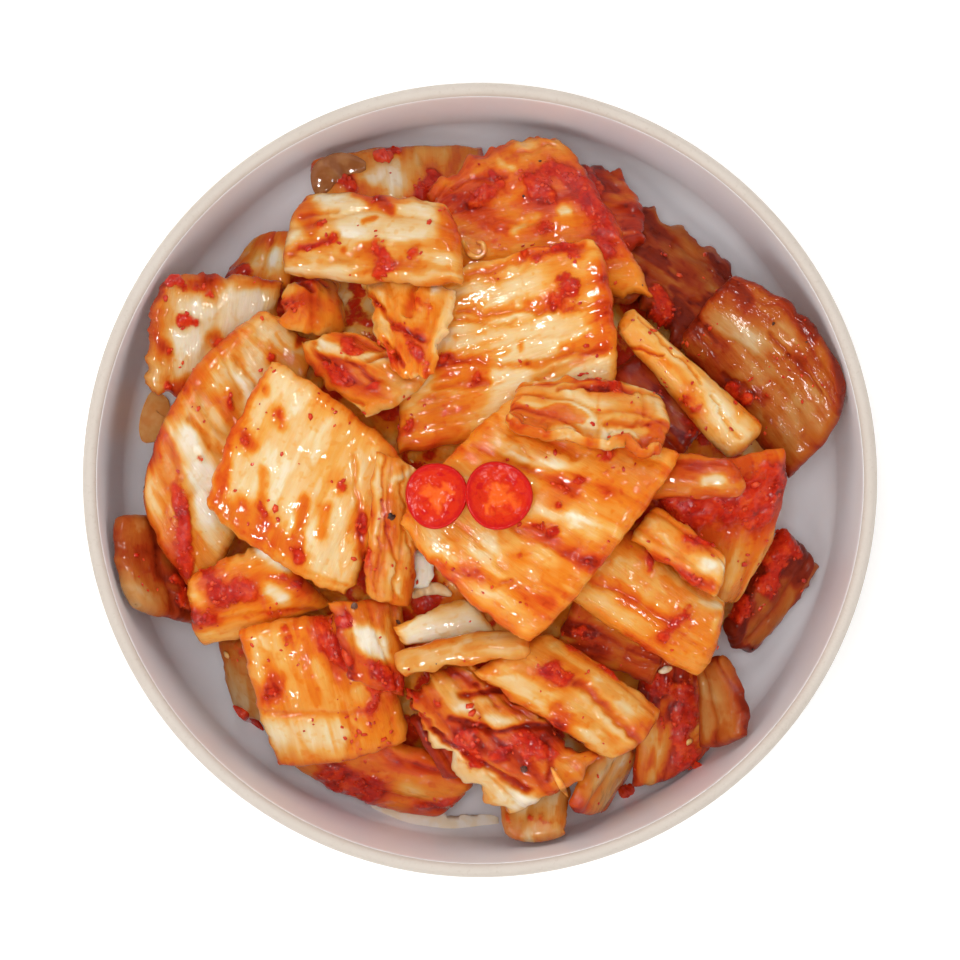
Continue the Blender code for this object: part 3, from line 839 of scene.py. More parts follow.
        def total(strokes: Tuple[Stroke, ...]) -> np.ndarray:
            """Sum of the strokes on the wavering grid."""
            return sum((stroke_field(one, wu, wv, self.size) for one in strokes), np.zeros_like(a))

        crease = total(self.creases)
        rim = self.edge * (np.exp(-inset / 1.5) + 0.35 * np.exp(-inset / 4.5))
        rim = rim * (0.6 + 0.8 * fbm(a / 5, b / 5, seed + 15))
        # A crease darkens the tint: partly juice standing in it, partly painted shade of the fold.
        tint = self.tint + TINT_GAIN * (rim + self.groove * groove) + CREASE_TINT * crease
        darkest = WASH_DARKEST + WASH_SOAKED * self.soak
        tint = tint + np.clip(TINT_GAIN * total(self.washes), WASH_LIGHTEST, darkest)
        tint = tint + self.streak * 2 * (fbm(a / 11, b / 1.6, seed + 2) - 0.5)
        tint = tint + self.mottle * 2 * (fbm(a / 8, b / 3.6, seed + 3) - 0.5)
        tint = tint + 1.8 * self.film * (smoothstep(0.49, 0.58, fbm(a / 10, b / 3.0, seed + 21)) - 0.3)
        paste = total(self.dabs)
        halo = total(tuple((*dab[:4], 1.9 * dab[4] + 0.6, dab[5]) for dab in self.dabs))
        tint = tint + HALO_TINT * np.clip(halo, 0, 1)
        ragged = fbm(a / 2.4, b / 1.9, seed + 6) - 0.5
        paste = paste * (1 + 0.9 * ragged) + 0.8 * ragged * smoothstep(0.02, 0.3, paste)
        film = smoothstep(0.40, 0.60, fbm(a / 5, b / 3.2, seed + 16))
        wet = np.maximum((0.25 + 0.75 * film) * self.wet, np.clip(paste, 0, 1))
        tint = tint - TINT_HOLD * (1 - self.soak) * np.clip(tint - TINT_KNEE, 0, None)
        return {"tint": np.clip(tint, 0, TINT_MOST), "soak": np.full_like(a, self.soak),
                "paste": np.clip(paste, 0, 1), "wet": np.clip(wet, 0.12, 1), "crease": CREASE_DEPTH * crease}

    def rolled(self, along: np.ndarray, across: np.ndarray) -> Tuple[np.ndarray, np.ndarray, np.ndarray]:
        """Roll up the edges that have a roll.

        Past the start of a roll, distance runs round an arc instead of straight on, so
        the edge comes up and back over while the plan keeps its width.

        Args:
            along: own-axis position along the ribs, mm.
            across: own-axis position across, mm.

        Returns:
            The new positions and the rise.
        """
        rise = np.zeros_like(along)
        for roll in self.rolls:
            lengthwise = roll.side in (Side.NEAR, Side.FAR)
            sign = 1.0 if roll.side in (Side.FAR, Side.LEFT) else -1.0
            line = (along if lengthwise else across) * sign
            limit = line.max(axis=0 if lengthwise else 1, keepdims=True)
            past = np.clip(line - (limit - roll.radius), 0, None)
            angle = math.radians(roll.degrees) * past / roll.radius
            line = line - past + roll.radius * np.sin(angle)
            rise = rise + roll.radius * (1 - np.cos(angle))
            if lengthwise:
                along = line * sign
            else:
                across = line * sign
        return along, across, rise

    def surface(self) -> Tuple[np.ndarray, np.ndarray, Dict[str, np.ndarray]]:
        """Work out both faces of the cut.

        The middle sheet follows the CAD's under side, a little above it, with rolled
        edges. Each face lies off that sheet along its normal by half the thickness times
        a quarter-circle that closes at the edge; the upper face adds ribs, fine fibre
        ridges, crumples and the body of the paste.

        Returns:
            Upper and under points as (n, m, 3), and marks by name.
        """
        length, width = self.size
        u, v = np.meshgrid(self.spacing(length), self.spacing(width), indexing="ij")
        r, s = 2 * u - 1, 2 * v - 1
        a, b = u * length, v * width
        seed = self.seed
        along, across = self.flat(u, v)
        jag = self.frill * 2
        across = across + jag * s * np.abs(s) ** 3 * (fbm(a / 3.1, b * 0 + s, seed + 7) - 0.5) * 2
        along = along + 0.6 * jag * r * np.abs(r) ** 5 * (fbm(b / 2.3, a * 0 + r, seed + 8) - 0.5) * 2
        low = self.sheet(*self.placed(along, across))
        along, across, rise = self.rolled(along, across)
        x, y = self.placed(along, across)
        inset_u = np.minimum(u, 1 - u) * length
        inset_v = np.minimum(v, 1 - v) * width
        inset = (np.maximum(inset_u, 1e-4) ** -4.0 + np.maximum(inset_v, 1e-4) ** -4.0) ** -0.25
        inset = np.where((inset_u < 1e-6) | (inset_v < 1e-6), 0.0, inset)
        thick = self.thick * (1 - self.thin * np.abs(s) ** 3)
        round_off = np.sqrt(1 - (1 - np.clip(inset / (UNDER_SHARE * thick + 0.2), 0, 1)) ** 2)
        middle = np.stack([x, y, low + UNDER_SHARE * self.thick + rise], -1)
        ahead = np.gradient(middle, axis=0)
        aside = np.gradient(middle, axis=1)
        normal = np.cross(ahead, aside)
        normal = normal / np.linalg.norm(normal, axis=-1, keepdims=True)
        rib, groove = self.rib_field(u, v)
        marks = self.masks(u, v, inset)
        fine = 0.12 * (fbm(a / 9, b / 0.9, seed + 9) - 0.5) + 0.10 * (fbm(a / 2.2, b / 1.5, seed + 10) - 0.5)
        fine = fine + 0.30 * marks["wet"] * (fbm(a / 1.5, b / 1.1, seed + 17, 2) - 0.5)
        crumple = self.crumple * 2 * (fbm(a / 6, b / 4.5, seed + 11) - 0.5)
        body = marks["paste"] * (0.15 + 0.8 * fbm(a / 1.3, b / 1.3, seed + 12, 2))
        detail = self.rise * (rib - 0.6) + fine + crumple - marks.pop("crease")
        over = (1 - UNDER_SHARE) * thick * round_off + (detail + body) * round_off
        below = UNDER_SHARE * thick * round_off + 0.5 * (fine - 0.3 * crumple) * round_off
        upper = middle + normal * over[..., None]
        under = middle - normal * below[..., None]
        marks["fibre"] = np.stack([a / 9, b / 1.3, np.full_like(a, float(seed % 50))], -1)
        return upper, under, marks

    def make(self, material: bpy.types.Material) -> np.ndarray:
        """Build the cut as one closed mesh whose two faces share their edge.

        Args:
            material: the cabbage finish.

        Returns:
            Upper points with tint and paste, one row each, for what is scattered on them.
        """
        upper, under, marks = self.surface()
        rows, columns = upper.shape[:2]
        top = np.arange(rows * columns).reshape(rows, columns)
        back = top.copy()
        inner = back[1:-1, 1:-1]
        inner[:] = rows * columns + np.arange(inner.size).reshape(inner.shape)
        points = np.concatenate([upper.reshape(-1, 3), under[1:-1, 1:-1].reshape(-1, 3)])
        faces = np.concatenate([quads(top), quads(back)[:, ::-1]])
        both = {}
        for name, values in marks.items():
            shape = (-1, values.shape[2]) if values.ndim == 3 else (-1,)
            both[name] = np.concatenate([values.reshape(shape), values[1:-1, 1:-1].reshape(shape)])
        name = "cabbage_" + self.node.replace("cut_", "")
        build(name, points, faces, both, material, (self.node,))
        return np.column_stack([upper.reshape(-1, 3), marks["tint"].ravel(), marks["paste"].ravel()])


# ---- what lies on and between the cuts -----------------------------------------------
class Relief:
    """Map of the topmost surface seen from above, for laying small things on it."""

    def __init__(self, step: float = 0.5) -> None:
        """Start an empty map over the whole bowl.

        Args:
            step: cell size, mm.
        """
        self.step = step
        self.half = int(round(CAD_BOX[1].x / MM / step)) + 2
        count = 2 * self.half + 1
        self.top = np.full((count, count), -1.0)
        self.paste = np.zeros((count, count))
        self.owner = np.full((count, count), -1)

    def cell(self, x: np.ndarray, y: np.ndarray) -> Tuple[np.ndarray, np.ndarray]:
        """Map cells of points."""
        column = np.clip(np.rint(x / self.step).astype(int) + self.half, 0, 2 * self.half)
        row = np.clip(np.rint(y / self.step).astype(int) + self.half, 0, 2 * self.half)
        return column, row

    def add(self, rows: np.ndarray, owner: int) -> None:
        """Add a surface: rows of x, y, z, tint and paste.

        Args:
            rows: the surface's points.
            owner: number of the piece.
        """
        order = np.argsort(rows[:, 2])
        x, y, z, _, paste = rows[order].T
        cells = self.cell(x, y)
        layer = np.full_like(self.top, -1.0)
        layer[cells] = z
        held = np.zeros_like(self.paste)
        held[cells] = paste
        higher = layer > self.top
        self.top = np.where(higher, layer, self.top)
        self.paste = np.where(higher, held, self.paste)
        self.owner = np.where(higher, owner, self.owner)

    def ground(self, x: np.ndarray, y: np.ndarray) -> np.ndarray:
        """Height of the heap or, where there is none, of the inside of the bowl."""
        inside = Bowl().inside(0.25)
        bowl = np.interp(np.hypot(x, y), inside[:, 0], inside[:, 1])
        return np.maximum(self.top[self.cell(x, y)], bowl)

    def slopes(self) -> Tuple[np.ndarray, np.ndarray]:
        """Slopes of the lightly smoothed map along x and y."""
        smooth = self.top.copy()
        for axis in (0, 1):
            smooth = (np.roll(smooth, 1, axis) + smooth + np.roll(smooth, -1, axis)) / 3
        return np.gradient(smooth, self.step, axis=0), np.gradient(smooth, self.step, axis=1)

    def pick(self, count: int, weight: np.ndarray, rng: np.random.Generator) -> Tuple[np.ndarray, np.ndarray]:
        """Random places on the map.

        Args:
            count: how many.
            weight: relative chance of each cell.
            rng: random source.

        Returns:
            Places as (count, 3) in mm and surface normals as (count, 3).
        """
        share = (weight / weight.sum()).ravel()
        chosen = rng.choice(share.size, size=count, p=share)
        column, row = np.unravel_index(chosen, self.top.shape)
        jitter = (rng.random((2, count)) - 0.5) * self.step
        x = (column - self.half) * self.step + jitter[0]
        y = (row - self.half) * self.step + jitter[1]
        slope_x, slope_y = self.slopes()
        normal = np.stack([-slope_x[column, row], -slope_y[column, row], np.ones(count)], -1)
        normal = normal / np.linalg.norm(normal, axis=1, keepdims=True)
        return np.stack([x, y, self.top[column, row]], -1), normal


def scatter(name: str, places: np.ndarray, normals: np.ndarray, shape: np.ndarray, faces: np.ndarray,
            sizes: np.ndarray, rng: np.random.Generator, material: bpy.types.Material,
            sink: float = 0.2) -> None:
    """Lay copies of one small shape on a surface, each turned and sized at random.

    Every copy stands on its surface normal, turned about it by a random angle, with its
    three own sizes, and its corners are shaken a little so that no two are alike.

    Args:
        name: the piece's name.
        places: where, mm.
        normals: surface normals there.
        shape: points of the unit shape, z along the normal.
        faces: its faces.
        sizes: length, width and height of each copy, mm.
        rng: random source.
        material: finish.
        sink: share of its height that a copy sinks in.
    """
    count, corners = len(places), len(shape)
    angle = rng.random(count) * 2 * np.pi
    rough = rng.normal(0, 0.5, (count, 3))
    first = np.cross(normals, rough + np.column_stack([np.cos(angle), np.sin(angle), 0 * angle]))
    first = first / np.linalg.norm(first, axis=1, keepdims=True)
    second = np.cross(normals, first)
    own = shape[None] * (1 + rng.normal(0, 0.16, (count, corners, 3)))
    own = own * sizes[:, None, :]
    points = (own[..., :1] * first[:, None] + own[..., 1:2] * second[:, None]
              + (own[..., 2:] + (0.5 - sink) * sizes[:, None, 2:]) * normals[:, None])
    points = (points + places[:, None]).reshape(-1, 3)
    every = (faces[None] + (np.arange(count) * corners)[:, None, None]).reshape(-1, faces.shape[1])
    build(name, points, every, {}, material)


def pebble(rings: int = 4, sides: int = 6) -> Tuple[np.ndarray, np.ndarray]:
    """A low unit ball: rings of points between two poles, closed with triangles.

    Args:
        rings: rings between the poles.
        sides: points in a ring.

    Returns:
        Points within half a unit of the origin, and triangles.
    """
    tilt = np.linspace(0, np.pi, rings + 2)[1:-1, None]
    angle = np.linspace(0, 2 * np.pi, sides, endpoint=False)[None]
    ring = np.stack([np.sin(tilt) * np.cos(angle), np.sin(tilt) * np.sin(angle),
                     np.cos(tilt) + 0 * angle], -1).reshape(-1, 3) / 2
    points = np.concatenate([ring, [[0, 0, 0.5], [0, 0, -0.5]]])
    number = around(rings, sides)
    top = fan(rings * sides, number[0, :-1], number[0, 1:])
    bottom = fan(rings * sides + 1, number[-1, 1:], number[-1, :-1])
    return points, np.concatenate([halves(quads(number)), top, bottom])


@dataclass
class UnderHeap:
    """The soaked leaf under the cuts: the CAD's dome with crumpled relief pressed in."""

    rings: int = 110
    sectors: int = 520
    fold: float = 1.6

    def make(self, material: bpy.types.Material) -> np.ndarray:
        """Build the dome as rings round its crown, closed by a flat base.

        Heights follow a sheet through the CAD's upper side, less a ridged fold pattern.

        Args:
            material: the cabbage finish.

        Returns:
            Upper points with tint and paste.
        """
        over = node_side("heap_core", up=True)
        sheet = thin_plate(over, 0.01)
        angle = np.arctan2(over[:, 1], over[:, 0])
        reach = np.hypot(over[:, 0], over[:, 1])
        outer = reach > 0.9 * reach.max()
        order = np.argsort(angle[outer])
        turn = np.linspace(-np.pi, np.pi, self.sectors, endpoint=False)
        edge = np.interp(turn, angle[outer][order], reach[outer][order], period=2 * np.pi)
        share = np.linspace(0, 1, self.rings + 1)[1:, None]
        x, y = share * edge * np.cos(turn), share * edge * np.sin(turn)
        ridged = np.abs(fbm(x / 9, y / 9, 31) - 0.5) * 2 + np.abs(fbm(x / 4, y / 4, 57) - 0.5)
        drop = self.fold * (0.2 + 1.6 * ridged) + 0.4 * fbm(x / 1.4, y / 1.4, 71)
        side = np.sqrt(np.clip(1 - share ** 10, 0, 1))
        base = node_side("heap_core", up=False)[:, 2].min()
        z = base + (sheet(x, y) - drop - base) * (0.25 + 0.75 * side)
        count = self.rings * self.sectors
        number = around(self.rings, self.sectors)
        top = np.stack([x, y, z], -1).reshape(-1, 3)
        rim = np.stack([x[-1], y[-1], np.full(self.sectors, base)], -1)
        low = count + np.arange(self.sectors + 1) % self.sectors
        crown, middle = count + self.sectors, count + self.sectors + 1
        heights = [[0, 0, z[0].mean()], [0, 0, base]]
        band = halves(quads(np.concatenate([number, low[None]])))
        cap = fan(crown, number[0, :-1], number[0, 1:])
        faces = np.concatenate([band, cap, fan(middle, low[1:], low[:-1])])
        points = np.concatenate([top, rim, heights])
        tint = 0.46 + 0.7 * (fbm(points[:, 0] / 6, points[:, 1] / 6, 91) - 0.5)
        paste = 0.8 * smoothstep(0.46, 0.62, fbm(points[:, 0] / 5, points[:, 1] / 5, 17))
        marks = {"tint": tint, "paste": paste, "soak": 0 * tint, "wet": 0 * tint + 0.8,
                 "fibre": points * np.array([0.4, 0.4, 0.0])}
        build("soaked_heap", points, faces, marks, material, ("heap_core",))
        return np.column_stack([top, tint[:count], paste[:count]])


@dataclass
class ChilliSlice:
    """A round slice across a fresh chilli: skin, flesh and a heart with three chambers."""

    node: str
    spin: float
    thick: float = 2.6
    rings: int = 40
    sectors: int = 120

    def make(self, material: bpy.types.Material) -> None:
        """Build the slice as rings over the top, round the skin and under it.

        Height over the radius is a flat face that rounds over into the skin; three
        chambers sink in it, between the arms of a raised heart.

        Args:
            material: the chilli finish.
        """
        low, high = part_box(self.node)
        centre = ((low.x + high.x) / 2 / MM, (low.y + high.y) / 2 / MM)
        radius = ((high.x - low.x) / 2 / MM, (high.y - low.y) / 2 / MM)
        sheet = thin_plate(node_side(self.node, up=False), 0.5)
        turn = np.linspace(0, 2 * np.pi, self.sectors, endpoint=False)[None]
        arc = np.linspace(0, 1, self.rings)[:, None]
        share = np.where(arc < 0.6, arc / 0.6 * 0.93, 0.93 + 0.07 * np.sin((arc - 0.6) / 0.4 * np.pi))
        share = np.where(arc > 0.8, 1 - (arc - 0.8) / 0.2 * 0.12, share)
        upper = np.where(arc < 0.6, 1.0, np.cos((arc - 0.6) / 0.4 * np.pi) * 0.5 + 0.5)
        wobble = 0.985 + 0.022 * np.sin(3 * turn + self.spin) + 0.016 * np.sin(2 * turn + 2 * self.spin)
        x = centre[0] + radius[0] * share * wobble * np.cos(turn)
        y = centre[1] + radius[1] * share * wobble * np.sin(turn)
        lobe = 0.5 + 0.5 * np.cos(3 * (turn + self.spin))
        chamber = smoothstep(0.18, 0.34, share) * (1 - smoothstep(0.52, 0.66, share))
        chamber = chamber * smoothstep(0.25, 0.7, lobe)
        cloud = fbm(x / 1.3, y / 1.3, int(10 * self.spin) + 3) - 0.5
        top = (arc < 0.6) * (0.3 * cloud - 0.25 * chamber - 0.15 * smoothstep(0.6, 0.0, share))
        z = sheet(x, y) + 0.1 + upper * (self.thick - 0.2) + top
        heart = np.clip(1.15 - 1.15 * share, 0, 1) - 0.12 * lobe * (share < 0.7) - 0.12 * chamber
        heart = heart + 0.9 * cloud * smoothstep(0.85, 0.6, share)
        grid = np.stack([x, y, z], -1).reshape(-1, 3)
        number = around(self.rings, self.sectors)
        centre_under = [[centre[0], centre[1], float(z[-1].mean())]]
        cap = fan(number[0, 0], number[1, :-1], number[1, 1:])
        back = fan(len(grid), number[-1, 1:], number[-1, :-1])
        faces = np.concatenate([halves(quads(number[1:])), cap, back])
        keep = np.ones(len(grid) + 1, dtype=bool)
        keep[1:self.sectors] = False
        remap = np.cumsum(keep) - 1
        points = np.concatenate([grid, centre_under])[keep]
        hearts = np.concatenate([heart.ravel(), [0.0]])[keep]
        build(self.node + "_slice", points, remap[faces], {"heart": hearts}, material,
              (self.node,))


@dataclass(frozen=True)
class Strand:
    """A soft strand, drop or scrap that lies on the heap or the bowl along a line.

    `path` gives shares of the box of `node` along x and y; `width` and `height` are the
    section in mm, `taper` how pointed the ends are and `rough` how uneven it is. It slips
    under what stands more than `tuck` above the middle of its bed.
    """

    name: str
    node: str
    path: Tuple[Tuple[float, float], ...]
    width: float
    height: float
    finish: str
    slot: Slot
    taper: float = 0.5
    rough: float = 0.12
    lift: float = 0.0
    tuck: float = 3.0

    def make(self, relief: Relief, material: bpy.types.Material, steps: int = 40, sides: int = 20) -> None:
        """Sweep an uneven oval along the line, resting on what lies below it.

        Args:
            relief: the topmost surface.
            material: finish.
            steps: sections along the line.
            sides: points in a section.
        """
        low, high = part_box(self.node)
        share = np.array(self.path)
        corner = np.array([low.x, low.y]) / MM
        reach = np.array([high.x - low.x, high.y - low.y]) / MM
        knots = corner + share * reach
        at = np.linspace(0, 1, len(knots))
        t = np.linspace(0, 1, steps)
        line = np.column_stack([np.interp(t, at, knots[:, axis]) for axis in (0, 1)])
        evened(line, steps // 5)
        ground = relief.ground(line[:, 0], line[:, 1])
        for _ in range(4):
            ground[1:-1] = np.maximum(ground[1:-1], (ground[:-2] + ground[2:]) / 2)
        ground = np.minimum(ground, np.median(ground) + self.tuck)
        evened(ground, 8)
        ahead = np.gradient(line, axis=0)
        ahead = ahead / np.linalg.norm(ahead, axis=1, keepdims=True)
        aside = np.stack([-ahead[:, 1], ahead[:, 0]], -1)
        angle = np.linspace(0, 2 * np.pi, sides, endpoint=False)[None]
        ease = np.sin(np.pi * (0.02 + 0.96 * t)) ** self.taper
        seed = sum(ord(letter) for letter in self.name) % 91
        lumps = fbm(6 * t[:, None] + 0 * angle, 2 * np.cos(angle) + 0 * t[:, None], seed)
        uneven = 1 + self.rough * 2 * (lumps - 0.5)
        across = self.width / 2 * ease[:, None] * np.cos(angle) * uneven
        up = self.height / 2 * (ease[:, None] ** 0.7 * np.sin(angle) * uneven + 0.8) + self.lift
        points = np.stack([line[:, :1] + across * aside[:, :1], line[:, 1:] + across * aside[:, 1:],
                           ground[:, None] + up], -1).reshape(-1, 3)
        number = around(steps, sides)
        ends = points.reshape(steps, sides, 3)[[0, -1]].mean(1)
        cap = fan(steps * sides, number[0, :-1], number[0, 1:])
        tail = fan(steps * sides + 1, number[-1, 1:], number[-1, :-1])
        faces = np.concatenate([halves(quads(number)), cap, tail])
        build(self.name, np.concatenate([points, ends]), faces, {}, material)


@dataclass
class Sauce:
    """Chilli flakes, pale seeds and dark specks that cling to the heap."""

    flakes: int = 900
    seeds: int = 3
    specks: int = 8
    seed: int = 7

    def make(self, relief: Relief) -> None:
        """Scatter the small things over the heap, thicker where paste lies.

        Args:
            relief: the topmost surface.
        """
        rng = np.random.default_rng(self.seed)
        on_heap = relief.owner >= 0
        drift = fbm(*np.indices(relief.top.shape) * relief.step / 6, 5)
        flake, flake_faces = pebble(2, 5)
        weight = on_heap * (0.02 + 2.2 * relief.paste + 0.5 * smoothstep(0.52, 0.7, drift))
        places, normals = relief.pick(self.flakes, weight, rng)
        size = rng.lognormal(-0.25, 0.34, (self.flakes, 1))
        sizes = size * np.array([1.2, 0.8, 0.32])
        red = WetFinish("chilli_flake", (0.80, 0.070, 0.010), (0.56, 0.018, 0.004)).material()
        scatter("chilli_flakes", places, normals, flake, flake_faces, sizes, rng, red, 0.45)
        seed, seed_faces = pebble(4, 8)
        places, normals = relief.pick(self.seeds, weight, rng)
        sizes = rng.normal(1.0, 0.12, (self.seeds, 1)) * np.array([1.7, 1.2, 0.5])
        pale = WetFinish("chilli_seed", (0.88, 0.55, 0.18), (0.80, 0.38, 0.08)).material()
        scatter("chilli_seeds", places, normals, seed, seed_faces, sizes, rng, pale)
        places, normals = relief.pick(self.specks, on_heap * 1.0, rng)
        sizes = rng.normal(1.0, 0.2, (self.specks, 1)) * np.array([0.7, 0.6, 0.4])
        black = WetFinish("dark_speck", (0.12, 0.04, 0.02), (0.04, 0.016, 0.01)).material()
        scatter("dark_specks", places, normals, flake, flake_faces, sizes, rng, black)


# ---- studio --------------------------------------------------------------------------
@dataclass
class Studio:
    """Floor, soft lights and a camera that looks straight down. Lengths in metres.

    The soft lights give the light and shade and aren't mirrored; the glints light
    nothing and are only mirrored, as small wet highlights. The tent's numbers are the
    heights between which the sky fades, and its strength there.
    """

    distance: float = 0.70
    floor_half: float = 3.0
    aim_height: float = 0.03
    frame_share: float = 398.0 / 960.0
    sensor: float = 36.0
    tent: Tuple[float, float, float, float] = (0.55, 1.0, 1.0, 0.08)
    soft: Tuple[Tuple[str, Tuple[float, float, float], float, float, Colour], ...] = (
        ("key", (-0.34, -0.40, 0.82), 0.42, 2.0, (1.0, 0.985, 0.965)),
        ("window", (-0.04, 0.54, 0.74), 0.26, 1.0, (1.0, 1.0, 1.0)),
        ("overhead", (-0.04, 0.02, 0.98), 0.30, 2.55, (1.0, 1.0, 1.0)))
    glints: Tuple[Tuple[str, Tuple[float, float, float], float, float], ...] = (
        ("glint_left", (-0.34, -0.30, 0.78), 0.13, 3.2),
        ("glint_back", (-0.16, 0.38, 0.80), 0.12, 2.2),
        ("glint_right", (0.38, -0.08, 0.78), 0.10, 1.3))

    def floor(self) -> None:
        """A wide pale floor at the foot of the bowl."""
        mesh = bpy.data.meshes.new("floor")
        half = self.floor_half
        corners = [(-half, -half, 0), (half, -half, 0), (half, half, 0), (-half, half, 0)]
        mesh.from_pydata(corners, [], [(0, 1, 2, 3)])
        b = Bench("floor_pale")
        b.set(Base_Color=(0.98, 0.98, 0.98, 1.0), Roughness=0.8, Emission_Color=(1.0, 1.0, 1.0, 1.0),
              Emission_Strength=0.20)
        mesh.materials.append(b.material)
        floor = bpy.data.objects.new("floor", mesh)
        bpy.context.scene.collection.objects.link(floor)

    def light(self, name: str, place: Tuple[float, float, float], size: float, power: float,
              colour: Colour = (1.0, 1.0, 1.0)) -> bpy.types.Object:
        """A square soft light that faces the bowl.

        Args:
            name: its name.
            place: where it stands.
            size: its side.
            power: watts.
            colour: its colour.

        Returns:
            The light.
        """
        lamp = bpy.data.lights.new(name, "AREA")
        lamp.shape = "SQUARE"
        lamp.size = size
        lamp.energy = power
        lamp.color = colour
        item = bpy.data.objects.new(name, lamp)
        item.location = place
        aim = -np.array(place) + np.array([0, 0, self.aim_height])
        flat = math.hypot(aim[0], aim[1])
        item.rotation_euler = (math.atan2(flat, -aim[2]), 0.0, math.atan2(aim[1], aim[0]) - math.pi / 2)
        bpy.context.scene.collection.objects.link(item)
        return item

    def sky(self) -> None:
        """A soft white tent all round, open and dark straight overhead."""
        world = bpy.data.worlds.new("studio")
        world.use_nodes = True
        tree = world.node_tree
        height = tree.nodes.new("ShaderNodeSeparateXYZ")
        tree.links.new(tree.nodes.new("ShaderNodeTexCoord").outputs["Generated"], height.inputs[0])
        tent = tree.nodes.new("ShaderNodeMapRange")
        tent.interpolation_type = "SMOOTHSTEP"
        for socket, value in zip(("From Min", "From Max", "To Min", "To Max"), self.tent):
            tent.inputs[socket].default_value = value
        tree.links.new(height.outputs["Z"], tent.inputs["Value"])
        tree.links.new(tent.outputs["Result"], tree.nodes["Background"].inputs["Strength"])
        tree.nodes["Background"].inputs["Color"].default_value = (1.0, 1.0, 1.0, 1.0)
        world.cycles_visibility.glossy = False
        bpy.context.scene.world = world

    def camera(self) -> None:
        """A long lens straight above the bowl, its rim filling its share of the frame."""
        low, high = CAD_BOX
        rim_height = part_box("bowl")[1].z
        radius = (high.x - low.x) / 2
        data = bpy.data.cameras.new("camera")
        data.sensor_width = self.sensor
        data.sensor_fit = "HORIZONTAL"
        data.lens = self.sensor * self.frame_share * self.distance / radius
        item = bpy.data.objects.new("camera", data)
        item.location = ((low.x + high.x) / 2, (low.y + high.y) / 2, rim_height + self.distance)
        bpy.context.scene.collection.objects.link(item)
        bpy.context.scene.camera = item

    def make(self) -> None:
        """Set up the whole studio."""
        self.floor()
        for name, place, size, power, colour in self.soft:
            self.light(name, place, size, power, colour).visible_glossy = False
        for name, place, size, power in self.glints:
            self.light(name, place, size, power).visible_diffuse = False
        self.sky()
        bpy.context.scene.view_settings.view_transform = "Standard"
        self.camera()


